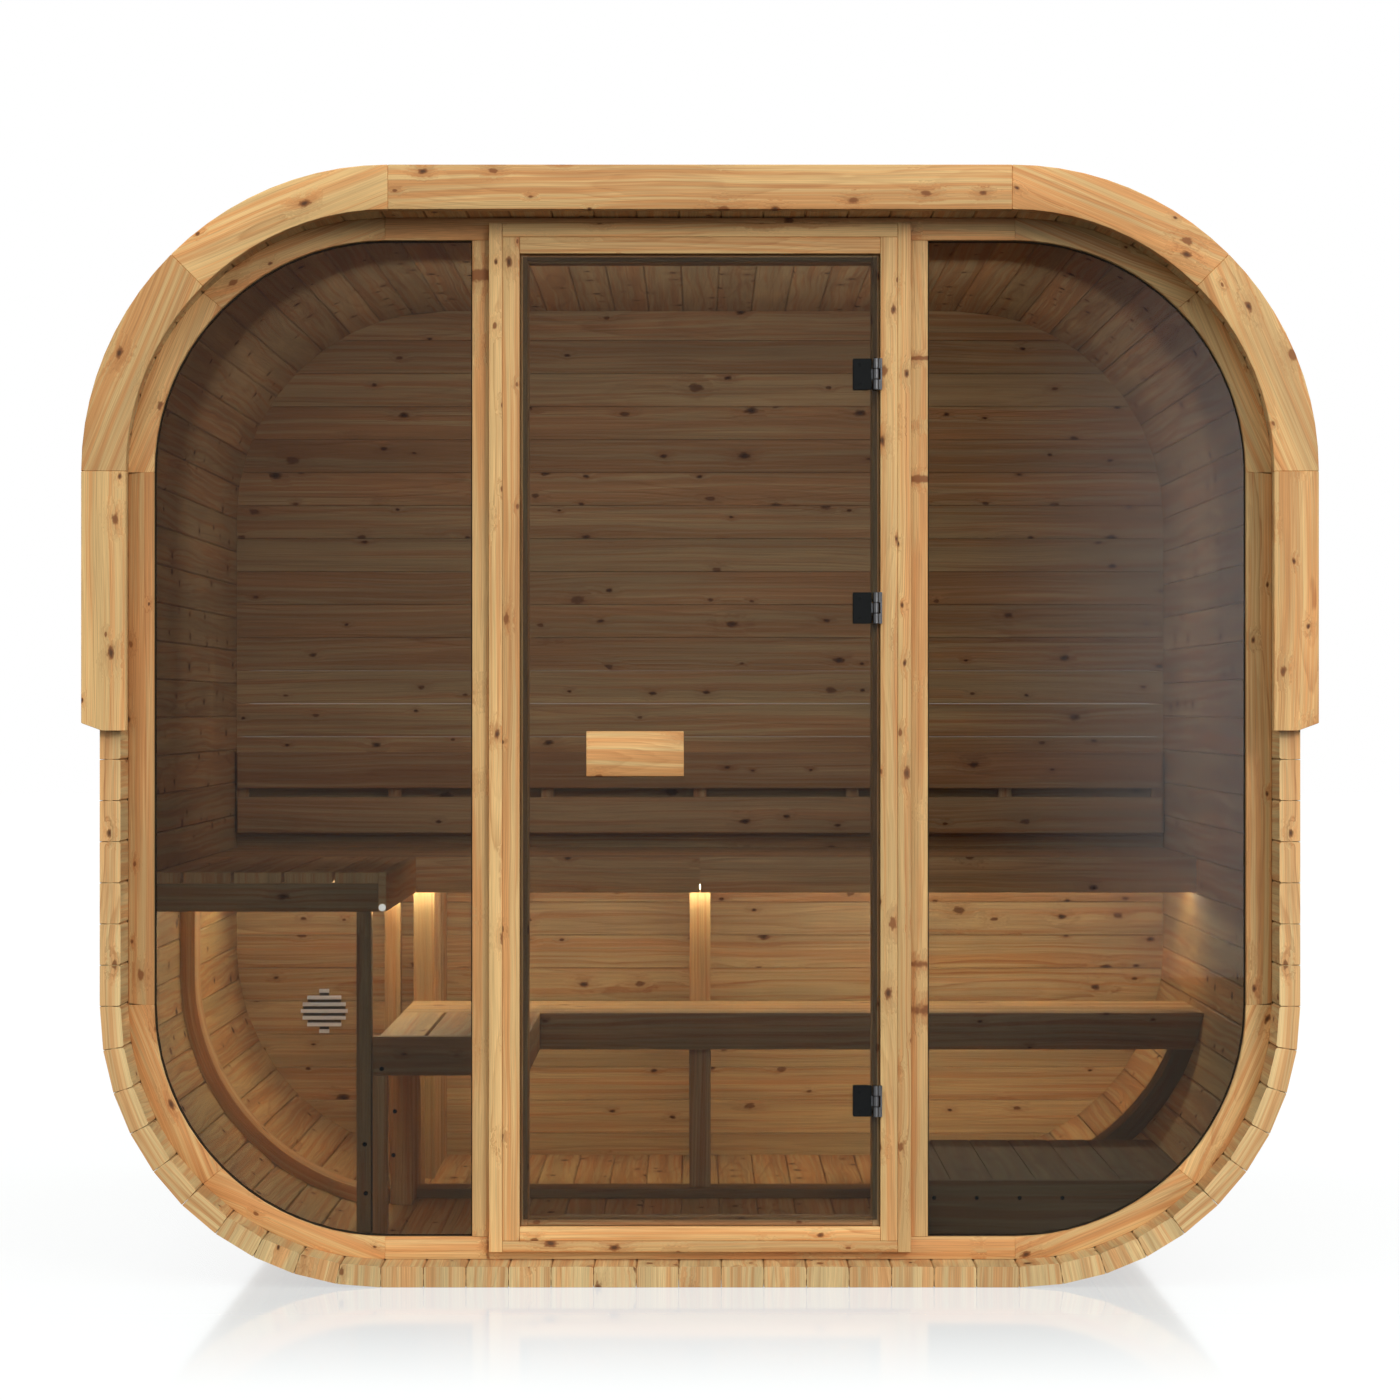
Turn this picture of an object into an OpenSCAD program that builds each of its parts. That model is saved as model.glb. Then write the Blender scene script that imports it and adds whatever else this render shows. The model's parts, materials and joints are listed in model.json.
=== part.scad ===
// Outdoor cube sauna: a rounded-square tube of staves with a glazed front, a glass door and two L-shaped benches.
// X runs to the right, Y from the glazed front to the back wall, Z up. The origin is the middle of the footprint.

/* [Tube] */
// Width over the side staves
tube_w = 2200; // [2000:10:2600]
// Height over the floor and ceiling staves
tube_h = 2010; // [1900:10:2300]
// Length of the staves
tube_l = 1920; // [1700:10:2600]
// Thickness of a stave
stave_t = 38; // [28:1:50]
// Outer radius of the rounded corners
corner_r = 515; // [440:5:560]

/* [Roof] */
// Thickness of the roof boards laid over the upper half
roof_t = 28; // [16:1:36]
// Height of the lower edge of the roof boards at the sides
roof_edge_z = 1030; // [900:10:1150]
// Width of a fascia board
fascia_w = 82; // [74:1:110]
// Thickness of a fascia board
fascia_t = 28; // [18:1:40]
// How far the fascia stands out past the tube at the sides
fascia_side_out = 30; // [30:1:40]
// How far the fascia stands out above the tube
fascia_top_out = 44; // [38:1:60]
// Height of the lower ends of the fascia legs
fascia_leg_z = 1020; // [900:10:1150]
// Width of the chamfer under each fascia leg
fascia_chamfer_w = 38; // [10:1:60]
// Height of the chamfer under each fascia leg
fascia_chamfer_h = 14; // [4:1:30]

/* [Front wall] */
// Depth of the front wall behind the front ends of the staves
front_recess = 93; // [60:1:160]
// Thickness of the glazing frame, front to back
frame_t = 44; // [38:1:70]
// Visible width of the glazing frame at the sides
frame_side_w = 48; // [36:1:70]
// Visible height of the glazing frame at the top and bottom
frame_rail_w = 42; // [34:1:60]
// Radius of the rounded window corners
window_r = 430; // [360:5:460]
// Width of the post between the door frame and a window
post_w = 32; // [24:1:60]
// Thickness of the glass in the windows and the door
glass_t = 8; // [6:1:12]
// How deep the window glass sits in its groove
groove_depth = 10; // [6:1:14]
// Distance from the frame's front face to the window glass
glass_setback = 14; // [8:1:18]

/* [Door frame] */
// Clear width between the jambs
door_w = 668; // [600:2:800]
// Height of the doorway's lower edge above the floor staves
sill_rise = 63; // [60:1:100]
// Distance of the doorway's upper edge below the ceiling staves
head_drop = 69; // [62:1:140]
// Width of the inner board of the door frame
stile_w = 32; // [24:1:50]
// Width of the outer trim board of the door frame
trim_w = 25; // [15:1:40]
// How far the door frame boards stand in front of the glazing frame
casing_t = 20; // [16:1:30]
// Width of the strip that the door closes against
stop_w = 16; // [10:1:24]
// Height by which the inner boards pass the doorway at the top and bottom
head_w = 31; // [29:1:50]
// Height of the outer trim at the top and bottom
trim_h = 26; // [18:1:40]

/* [Door] */
// Gap between the door glass and the jambs
door_gap = 6; // [5:0.5:9]
// Gap under the door glass
door_bottom_gap = 13; // [6:1:25]
// Gap between the door glass and the strip behind it
stop_gap = 5; // [5:0.5:8]
// Width of the handle plate
handle_w = 180; // [100:1:240]
// Height of the handle plate
handle_h = 84; // [50:1:160]
// Thickness of the handle plate
handle_t = 28; // [18:1:40]
// Distance from the door's middle to the handle's middle
handle_x = -120; // [-200:1:-100]
// Height of the handle's middle
handle_z = 977; // [850:1:1150]
// Height of the lower hinge above the doorway's lower edge
hinge_low = 233; // [150:1:400]
// Distance of the middle hinge below the doorway's upper edge
hinge_mid = 656; // [450:1:900]
// Distance of the upper hinge below the doorway's upper edge
hinge_top = 223; // [150:1:350]
// Height of a hinge
hinge_h = 58; // [48:1:80]
// Width of a hinge's clamp plate on the glass
clamp_w = 35; // [28:1:50]
// Thickness of a hinge's clamp plate
clamp_t = 5; // [3:0.5:6]
// Radius of a hinge's knuckle
knuckle_r = 6; // [5:0.5:7]
// Radius of a hinge's pin
pin_r = 3; // [2:0.5:4]

/* [Back wall] */
// Thickness of the back wall
back_wall_t = 40; // [28:1:60]
// Depth of the back wall in front of the back ends of the staves
back_recess = 87; // [40:1:160]
// Diameter of the round vent grille
vent_d = 108; // [80:1:140]
// Distance of the vent's middle from the left wall
vent_in = 201; // [150:1:300]
// Height of the vent's middle
vent_z = 368; // [330:1:450]

/* [Upper bench] */
// Height of the upper bench
upper_z = 743; // [690:1:820]
// Depth of the upper bench along the back wall
upper_depth = 595; // [560:1:640]
// Width of the upper bench along the left wall, without its side board
wing_w = 438; // [400:1:480]
// Distance from the front wall's face to the front of the left benches
wing_front = 323; // [300:1:420]
// Thickness of the bench slats
slat_t = 22; // [18:1:32]
// Thickness of the boards along the bench fronts
board_t = 22; // [18:1:32]
// Thickness of the board along the side of the upper left bench
side_board_t = 16; // [12:1:32]
// Height of the boards along the bench fronts, with the slats
board_h = 76; // [60:1:95]
// Height of the middle of the slot in the backrest
backrest_z = 869; // [840:1:960]
// Height of a backrest board
backrest_h = 82; // [60:1:120]
// Height of the slot between the backrest boards
backrest_slot = 20; // [10:1:40]
// Thickness of a backrest board
backrest_t = 20; // [15:1:30]
// Gap between the backrest's ends and the walls
backrest_end_gap = 7; // [2:1:30]
// Width of a backrest batten
batten_w = 30; // [20:1:50]
// Depth of a backrest batten
batten_t = 25; // [15:1:40]
// Distance of the outer battens' middles from the side walls
batten_end = 16; // [16:1:60]

/* [Lower bench] */
// Height of the lower bench
lower_z = 425; // [390:1:480]
// Distance from the back wall to the front of the lower bench
lower_depth = 795; // [780:1:860]
// Distance from the back wall to the rear edge of the lower bench
lower_rear = 455; // [400:1:500]
// Left edge of the lower bench, left of the middle
lower_left_x = 623; // [600:1:640]
// Right edge of the left part of the lower bench, left of the middle
lower_wing_x = 334; // [300:1:380]

/* [Bench supports] */
// Thickness of the support panels and of the middle post
panel_t = 45; // [30:1:60]
// Left face of the upper left support panel, left of the middle
upper_panel_x = 623; // [600:1:640]
// Left face of the lower support panel, left of the middle
lower_panel_x = 637; // [610:1:650]
// Distance by which the lower support panel starts in front of the lower bench
lower_panel_front = 128; // [100:1:160]
// Depth of the lower support panel
lower_panel_depth = 380; // [300:1:400]
// Left face of the upper front post, left of the middle
upper_post_x = 666; // [640:1:700]
// Left face of the lower front post and the board on it, left of the middle
lower_post_x = 635; // [624:1:637]
// Width of a front post
post_front_w = 28; // [24:1:50]
// Depth of a post
post_depth = 45; // [30:1:60]
// Left face of the rear post under the upper bench, left of the middle
rear_post_x = 686; // [660:1:720]
// Width of the rear post under the upper bench
post_rear_w = 34; // [24:1:50]
// Thickness of the curved rib on the left staves
rib_t = 31; // [18:1:40]
// Distance by which the rib starts in front of the lower bench
rib_front = 181; // [140:1:200]
// Thickness of the curved bracket under the right end of the lower bench
bracket_t = 40; // [30:1:50]
// Height of the batten on the floor below the lower bench
batten_h = 20; // [15:1:30]
// Depth of the rib, the bracket and the batten
rib_depth = 90; // [80:1:100]

/* [Platform in the right corner] */
// Height of the platform
platform_z = 179; // [150:1:200]
// Left edge of the platform, right of the middle
platform_x = 390; // [370:1:420]
// Depth of the platform
platform_depth = 689; // [600:1:700]
// Thickness of the platform's deck
deck_t = 42; // [28:1:50]
// Thickness of the boards under the deck
joist_t = 28; // [20:1:45]
// Distance between the two bearers under the deck
joist_pitch = 250; // [200:1:300]

/* [Lights] */
// Width of the light strip on the side board
strip_w = 10; // [6:1:14]
// Height of a light strip
strip_h = 10; // [6:1:14]
// Depth of the light strip along the front of the support panels
strip_front = 34; // [20:1:60]
// Height of the light strips above the lower edge of the front board
strip_up = 3; // [0:1:20]
// Radius of the small round lamp
lamp_r = 7; // [6:0.5:7.5]
// Length of the small round lamp
lamp_l = 5; // [4:0.5:10]

/* [Hidden] */
$fn = 96;
seat_gap = 0.3;      // between a piece and a curved seat
rib_clear = 3;       // from the curved rib to the panel, and from the bracket to the batten
platform_gap = 5;    // between the platform and the front wall
pin_clearance = 0.05;
knuckle_gap = 1;     // between the knuckles of a hinge, along the pin
glass_play = 0.3;    // between the window glass and its groove
vent_slats = 7;
vent_back_t = 2;
vent_slat_t = 6;
lamp_gap = 2;        // from the beam at the front to the strip on the side board
clamp_inset = 8;     // from the hinge axis to the clamp plate
clamp_edge = 6;      // extra inset of the clamp plate behind the glass

half_w = tube_w / 2;
half_l = tube_l / 2;
in_w = half_w - stave_t;             // inner half width
in_z0 = stave_t;                     // top of the floor
in_z1 = tube_h - stave_t;            // underside of the ceiling
in_r = corner_r - stave_t;
corner_x = half_w - corner_r;        // middle of a corner's curve
corner_z0 = corner_r;
corner_z1 = tube_h - corner_r;

wall_y0 = -half_l + front_recess;
wall_y1 = wall_y0 + frame_t;
casing_y = wall_y0 - casing_t;
back_y = half_l - back_recess - back_wall_t;

door_z0 = in_z0 + sill_rise;
door_z1 = in_z1 - head_drop;
hinge_z = [door_z0 + hinge_low, door_z1 - hinge_mid, door_z1 - hinge_top];
vent_x = in_w - vent_in;
batten_pairs = 3;                    // battens on each side of the middle one
batten_pitch = (in_w - batten_end) / batten_pairs;

open_w = in_w - frame_side_w;        // half width of the glazed opening
open_z0 = in_z0 + frame_rail_w;
open_z1 = in_z1 - frame_rail_w;
pane_y0 = wall_y0 + glass_setback;
pane_y1 = pane_y0 + glass_t;

jamb_x = door_w / 2;
trim_x = jamb_x + stile_w;
post_x0 = trim_x + trim_w;           // inner face of a window post
post_x1 = post_x0 + post_w;

stop_y = wall_y0;                    // front of the strip behind the door
door_y1 = stop_y - stop_gap;
door_y0 = door_y1 - glass_t;
leaf_w = jamb_x - door_gap;
leaf_z0 = door_z0 + door_bottom_gap;
leaf_z1 = door_z1 - door_gap;
hinge_x = jamb_x - clamp_inset;
hinge_y = door_y0 - knuckle_r - 3;
third = (hinge_h - 2 * knuckle_gap) / 3;

wing_y = wall_y0 + wing_front;
upper_y = back_y - upper_depth;
wing_x = -(in_w - wing_w);           // right edge of the left bench's slats
wing_side_x = wing_x + side_board_t;
upper_slat_z = upper_z - slat_t;
upper_board_z = upper_z - board_h;
lower_y = back_y - lower_depth;
lower_rear_y = back_y - lower_rear;
lower_slat_z = lower_z - slat_t;
lower_board_z = lower_z - board_h;
rib_y = lower_y - rib_front;
rib_x = -lower_panel_x - rib_clear;  // lower end of the left rib
platform_y0 = wall_y1 + platform_gap;
platform_y1 = platform_y0 + platform_depth;
backrest_y = back_y - batten_t - backrest_t;

// ---- helpers: outlines are drawn in X and Z, and run along Y ----

module along_y(y0, y1) {
  translate([0, y1, 0]) rotate([90, 0, 0]) linear_extrude(y1 - y0) children();
}

module box(x0, x1, y0, y1, z0, z1) {
  translate([x0, y0, z0]) cube([x1 - x0, y1 - y0, z1 - z0]);
}

module rect(x0, x1, z0, z1) {
  translate([x0, z0]) square([x1 - x0, z1 - z0]);
}

// A rectangle with round corners, centred on X
module rounded(w, z0, z1, r) {
  rect(-w + r, w - r, z0, z1);
  rect(-w, w, z0 + r, z1 - r);
  for (x = [-w + r, w - r], z = [z0 + r, z1 - r]) translate([x, z]) circle(r);
}

// The space inside the tube, less a clearance
module inside(gap) {
  rounded(in_w - gap, in_z0 + gap, in_z1 - gap, in_r - gap);
}

// A quarter of a ring in the quadrant side_x, side_z of its centre
module quarter_ring(side_x, side_z, r_out, r_in) {
  intersection() {
    difference() {
      circle(r_out);
      circle(r_in);
    }
    rect(min(0, side_x * r_out), max(0, side_x * r_out), min(0, side_z * r_out), max(0, side_z * r_out));
  }
}

// A bench piece cut to the curve of the staves
module scribed(x0, x1, y0, y1, z0, z1) {
  along_y(y0, y1) intersection() {
    rect(x0, x1, z0, z1);
    inside(seat_gap);
  }
}

module mirror_x(side) {
  if (side > 0) children();
  else mirror([1, 0, 0]) children();
}

// ---- shell ----

module floor_staves() color("burlywood")
  box(-corner_x, corner_x, -half_l, half_l, 0, in_z0);

module ceiling_staves() color("burlywood")
  box(-corner_x, corner_x, -half_l, half_l, in_z1, tube_h);

module wall_staves(side) color("tan") mirror_x(side)
  box(in_w, half_w, -half_l, half_l, corner_z0, corner_z1);

module corner_staves(side_x, side_z) color("wheat")
  along_y(-half_l, half_l)
    translate([side_x * corner_x, side_z > 0 ? corner_z1 : corner_z0])
      quarter_ring(side_x, side_z, corner_r, in_r);

module back_wall() color("peru")
  along_y(back_y, back_y + back_wall_t) inside(seat_gap);

// ---- roof ----

roof_in_r = corner_r + seat_gap;

module roof_top() color("sienna")
  box(-corner_x, corner_x, -half_l, half_l, tube_h, tube_h + roof_t);

module roof_side(side) color("sienna") mirror_x(side)
  along_y(-half_l, half_l) {
    translate([corner_x, corner_z1]) quarter_ring(1, 1, corner_r + roof_t, roof_in_r);
    rect(half_w + seat_gap, half_w + roof_t, roof_edge_z, corner_z1);
  }

fascia_x1 = half_w + fascia_side_out;
fascia_z1 = tube_h + fascia_top_out;
fascia_r = corner_r + 45;
fascia_cx = fascia_x1 - fascia_r;
fascia_cz = fascia_z1 - fascia_r;

module fascia_top(y) color("goldenrod")
  box(-fascia_cx, fascia_cx, y, y + fascia_t, fascia_z1 - fascia_w, fascia_z1);

module fascia_side(side, y) color("goldenrod") mirror_x(side)
  along_y(y, y + fascia_t) {
    translate([fascia_cx, fascia_cz]) quarter_ring(1, 1, fascia_r, fascia_r - fascia_w);
    difference() {
      rect(fascia_x1 - fascia_w, fascia_x1, fascia_leg_z, fascia_cz);
      polygon([
        [fascia_x1 - fascia_chamfer_w, fascia_leg_z],
        [fascia_x1, fascia_leg_z + fascia_chamfer_h],
        [fascia_x1 + 1, fascia_leg_z + fascia_chamfer_h],
        [fascia_x1 + 1, fascia_leg_z - 1],
        [fascia_x1 - fascia_chamfer_w, fascia_leg_z - 1]
      ]);
    }
  }

// ---- glazed front ----

// The groove that the window glass sits in
module glass_groove() {
  along_y(pane_y0 - glass_play, pane_y1 + glass_play)
    rounded(open_w + groove_depth + glass_play, open_z0 - groove_depth - glass_play,
            open_z1 + groove_depth + glass_play, window_r + groove_depth + glass_play);
}

// The part of the glazing frame between x0 and x1, and between z0 and z1
module glazing(x0, x1, z0, z1) {
  difference() {
    along_y(wall_y0, wall_y1) intersection() {
      difference() {
        inside(seat_gap);
        rounded(open_w, open_z0, open_z1, window_r);
      }
      rect(x0, x1, z0, z1);
    }
    glass_groove();
  }
}

module glazing_frame(side) color("goldenrod") mirror_x(side)
  glazing(corner_x, in_w, in_z0, in_z1);

module glazing_rail(z0, z1) color("goldenrod")
  glazing(-corner_x, corner_x, z0, z1);

module window_post(side) color("goldenrod") mirror_x(side)
  difference() {
    box(post_x0, post_x1, wall_y0, wall_y1, open_z0, open_z1);
    box(post_x1 - groove_depth - glass_play, post_x1 + 1, pane_y0 - glass_play, pane_y1 + glass_play,
        open_z0 - 1, open_z1 + 1);
  }

module window_glass(side) color([0.35, 0.28, 0.22, 0.5]) mirror_x(side)
  along_y(pane_y0, pane_y1) intersection() {
    rounded(open_w + groove_depth, open_z0 - groove_depth, open_z1 + groove_depth, window_r + groove_depth);
    rect(post_x1 - groove_depth, open_w + groove_depth, open_z0 - groove_depth, open_z1 + groove_depth);
  }

// ---- door frame ----

casing_z0 = door_z0 - head_w + 5;          // underside of the inner sill board
casing_z1 = door_z1 + head_w;
trim_z0 = casing_z0 - trim_h + 5;
trim_z1 = casing_z1 + trim_h;

module door_jamb(side) color("burlywood") mirror_x(side)
  difference() {
    union() {
      box(jamb_x, trim_x, casing_y, wall_y0, casing_z0, casing_z1);
      box(trim_x, post_x0, casing_y, wall_y0, trim_z0, trim_z1);
      box(jamb_x, post_x0, wall_y0, wall_y1, open_z0, open_z1);
      box(jamb_x - stop_w, jamb_x, stop_y, wall_y1, door_z0, door_z1);
    }
    if (side > 0) for (z = hinge_z) hinge_pocket(z);
  }

module door_head() color("burlywood") {
  box(-jamb_x, jamb_x, casing_y, wall_y0, door_z1, casing_z1);
  box(-trim_x, trim_x, casing_y, wall_y0, casing_z1, trim_z1);
  box(-jamb_x, jamb_x, wall_y0, wall_y1, door_z1, open_z1);
  box(-jamb_x + stop_w, jamb_x - stop_w, stop_y, wall_y1, door_z1 - stop_w, door_z1);
}

module door_sill() color("burlywood") {
  box(-jamb_x, jamb_x, casing_y, wall_y0, casing_z0, door_z0);
  box(-trim_x, trim_x, casing_y, wall_y0, trim_z0, casing_z0);
  box(-jamb_x, jamb_x, wall_y0, wall_y1, open_z0, door_z0);
  box(-jamb_x + stop_w, jamb_x - stop_w, stop_y, wall_y1, door_z0, door_z0 + stop_w);
}

// ---- door ----

hinge_leaf_t = 3;
hinge_leaf_y1 = casing_y + casing_t;

module door_glass() color([0.35, 0.28, 0.22, 0.5])
  box(-leaf_w, leaf_w, door_y0, door_y1, leaf_z0, leaf_z1);

module handle(y0) color("goldenrod")
  box(handle_x - handle_w / 2, handle_x + handle_w / 2, y0, y0 + handle_t,
      handle_z - handle_h / 2, handle_z + handle_h / 2);

// The place in the jamb for a hinge's fixed leaf
module hinge_pocket(z) {
  box(jamb_x - 1, jamb_x + hinge_leaf_t, casing_y - 1, hinge_leaf_y1, z - hinge_h / 2, z + hinge_h / 2);
}

module knuckle(z0, h, r) {
  translate([hinge_x, hinge_y, z0]) cylinder(h = h, r = r);
}

// Clamp plates on both faces of the glass, with the middle knuckle
module door_hinge_clamps() color([0.12, 0.12, 0.12])
  for (z = hinge_z) {
    difference() {
      union() {
        box(hinge_x - clamp_inset - clamp_w, hinge_x - clamp_inset, door_y0 - clamp_t, door_y0,
            z - hinge_h / 2, z + hinge_h / 2);
        box(hinge_x - clamp_inset, hinge_x, door_y0 - clamp_t, door_y0 - 1, z - third / 2, z + third / 2);
        knuckle(z - third / 2, third, knuckle_r);
      }
      knuckle(z - hinge_h, 2 * hinge_h, pin_r + pin_clearance);
    }
    box(hinge_x - clamp_inset - clamp_w, hinge_x - clamp_inset - clamp_edge, door_y1, door_y1 + clamp_t,
        z - hinge_h / 2, z + hinge_h / 2);
  }

// Fixed leaves let into the right jamb, with the outer knuckles and the pin
module door_hinge_leaves() color("silver")
  for (z = hinge_z) {
    box(jamb_x, jamb_x + hinge_leaf_t, hinge_y - 2, hinge_leaf_y1, z - hinge_h / 2, z + hinge_h / 2);
    for (z0 = [z - hinge_h / 2, z + hinge_h / 2 - third]) {
      knuckle(z0, third, knuckle_r);
      box(hinge_x, jamb_x + hinge_leaf_t, hinge_y - 2, hinge_y + 2, z0, z0 + third);
    }
    knuckle(z - hinge_h / 2, hinge_h, pin_r);
  }

// ---- upper bench ----

module upper_bench_back() color("darkkhaki")
  box(-in_w + seat_gap, in_w - seat_gap, upper_y + board_t, back_y, upper_slat_z, upper_z);

module upper_bench_left() color("darkkhaki")
  box(-in_w + seat_gap, wing_x, wing_y, upper_y + board_t, upper_slat_z, upper_z);

module upper_front_board() color("tan")
  box(wing_side_x, in_w - seat_gap, upper_y, upper_y + board_t, upper_board_z, upper_z);

module upper_side_board() color("tan")
  box(wing_x, wing_side_x, wing_y, upper_y + board_t, upper_board_z, upper_z);

module upper_front_beam() color("tan")
  box(-in_w + seat_gap, wing_x, wing_y, wing_y + board_t, upper_board_z, upper_slat_z);

module upper_bench_supports() color("rosybrown") {
  for (x = [-upper_panel_x, -panel_t / 2])
    scribed(x, x + panel_t, lower_rear_y, back_y, in_z0, upper_slat_z);
  scribed(-upper_post_x, -upper_post_x + post_front_w, wing_y, wing_y + post_depth, in_z0, upper_board_z);
  scribed(-rear_post_x, -rear_post_x + post_rear_w, lower_rear_y, lower_rear_y + post_depth, in_z0, upper_slat_z);
}

module backrest_boards() color("tan")
  for (z0 = [backrest_z - backrest_slot / 2 - backrest_h, backrest_z + backrest_slot / 2])
    box(-in_w + backrest_end_gap, in_w - backrest_end_gap, backrest_y, backrest_y + backrest_t, z0, z0 + backrest_h);

module backrest_battens() color("rosybrown")
  for (k = [-batten_pairs:batten_pairs])
    box(k * batten_pitch - batten_w / 2, k * batten_pitch + batten_w / 2, backrest_y + backrest_t, back_y,
        backrest_z - backrest_slot / 2 - backrest_h, backrest_z + backrest_slot / 2 + backrest_h);

// ---- lower bench ----

module lower_bench_back() color("darkkhaki")
  scribed(-lower_left_x, in_w, lower_y + board_t, lower_rear_y, lower_slat_z, lower_z);

module lower_bench_left() color("darkkhaki")
  box(-lower_left_x, -lower_wing_x - board_t, wing_y + board_t, lower_y + board_t, lower_slat_z, lower_z);

module lower_front_board() color("tan")
  scribed(-lower_wing_x, in_w, lower_y, lower_y + board_t, lower_board_z, lower_z);

module lower_left_boards() color("tan") {
  box(-lower_post_x, -lower_wing_x, wing_y, wing_y + board_t, lower_board_z, lower_z);
  box(-lower_wing_x - board_t, -lower_wing_x, wing_y + board_t + seat_gap, lower_y + board_t, lower_board_z, lower_z);
}

module lower_bench_supports() color("rosybrown") {
  scribed(-lower_post_x, -lower_post_x + post_front_w, wing_y, wing_y + post_depth, in_z0, lower_board_z);
  box(-panel_t / 2, panel_t / 2, lower_y + board_t, lower_y + board_t + post_depth, in_z0 + batten_h, lower_slat_z);
  scribed(-lower_panel_x, -lower_panel_x + panel_t, lower_y - lower_panel_front,
          lower_y - lower_panel_front + lower_panel_depth, in_z0, lower_slat_z);
}

// A rib bent up the left corner, a bracket bent to the right corner, and a straight batten on the floor
module bench_ribs() color("peru") {
  along_y(rib_y, rib_y + rib_depth) {
    intersection() {
      translate([-corner_x, corner_z0]) quarter_ring(-1, -1, in_r - seat_gap, in_r - rib_t);
      rect(-in_w, rib_x, 0, corner_z0);
    }
    rect(-in_w + seat_gap, -in_w + rib_t, corner_z0, upper_slat_z);
  }
  along_y(lower_y, lower_y + rib_depth) {
    rect(-lower_panel_x + panel_t + seat_gap, corner_x, in_z0 + seat_gap, in_z0 + batten_h);
    intersection() {
      translate([corner_x, corner_z0]) quarter_ring(1, -1, in_r - seat_gap, in_r - bracket_t);
      rect(corner_x + rib_clear, in_w, 0, lower_board_z - seat_gap);
    }
  }
}

// ---- platform in the right corner ----

module platform_deck() color("darkkhaki")
  scribed(platform_x, in_w, platform_y0, platform_y1, platform_z - deck_t, platform_z);

module platform_frame() color("rosybrown") {
  top = platform_z - deck_t;
  for (y = [platform_y0, platform_y1 - joist_t]) scribed(platform_x, in_w, y, y + joist_t, in_z0, top);
  for (x = [platform_x, platform_x + joist_pitch])
    scribed(x, x + joist_t, platform_y0 + joist_t + seat_gap, platform_y1 - joist_t - seat_gap, in_z0, top);
}

// ---- lights and vent ----

// A strip under the slats, one on the back of the side board, and a round lamp on the end of that board
module light_strip() color("white") {
  strip_z = upper_board_z + strip_up;
  box(-in_w + strip_w, in_w - strip_w, lower_rear_y - strip_front, lower_rear_y, strip_z, strip_z + strip_h);
  box(wing_x - strip_w, wing_x, wing_y + board_t + lamp_gap, upper_y + board_t, strip_z, strip_z + strip_h);
  translate([(wing_x + wing_side_x) / 2, wing_y, upper_board_z + lamp_r + 1])
    rotate([90, 0, 0]) cylinder(h = lamp_l, r = lamp_r);
}

module vent_grille() color("lightgray")
  translate([-vent_x, 0, vent_z]) {
    along_y(back_y - vent_back_t, back_y) circle(vent_d / 2);
    along_y(back_y - vent_back_t - vent_slat_t, back_y - vent_back_t) intersection() {
      circle(vent_d / 2);
      for (k = [0:vent_slats - 1])
        rect(-vent_d / 2, vent_d / 2, (k / vent_slats - 0.5) * vent_d + 3, ((k + 1) / vent_slats - 0.5) * vent_d - 3);
    }
  }

// ---- nodes ----

floor_staves();
ceiling_staves();
wall_staves(-1);  // left_wall_staves
wall_staves(1);  // right_wall_staves
corner_staves(-1, -1);  // lower_left_corner
corner_staves(1, -1);  // lower_right_corner
corner_staves(-1, 1);  // upper_left_corner
corner_staves(1, 1);  // upper_right_corner
back_wall();
roof_top();
roof_side(-1);  // roof_left
roof_side(1);  // roof_right
fascia_top(-half_l - fascia_t);  // front_fascia_top
fascia_side(-1, -half_l - fascia_t);  // front_fascia_left
fascia_side(1, -half_l - fascia_t);  // front_fascia_right
fascia_top(half_l);  // back_fascia_top
fascia_side(-1, half_l);  // back_fascia_left
fascia_side(1, half_l);  // back_fascia_right
glazing_frame(-1);  // glazing_frame_left
glazing_frame(1);  // glazing_frame_right
glazing_rail(corner_z1, in_z1);  // glazing_rail_top
glazing_rail(in_z0, corner_z0);  // glazing_rail_bottom
window_post(-1);  // window_post_left
window_post(1);  // window_post_right
window_glass(-1);  // window_glass_left
window_glass(1);  // window_glass_right
door_jamb(-1);  // door_jamb_left
door_jamb(1);  // door_jamb_right
door_head();
door_sill();
door_glass();
handle(door_y0 - handle_t);  // door_handle_outer
handle(door_y1);  // door_handle_inner
door_hinge_clamps();
door_hinge_leaves();
upper_bench_back();
upper_bench_left();
upper_front_board();
upper_side_board();
upper_front_beam();
lower_bench_back();
lower_bench_left();
lower_front_board();
lower_left_boards();
upper_bench_supports();
lower_bench_supports();
bench_ribs();
platform_deck();
platform_frame();
backrest_boards();
backrest_battens();
light_strip();
vent_grille();
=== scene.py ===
"""Cube sauna: boards, glass, fittings and light, built around the fixed frame of the model."""

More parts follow.
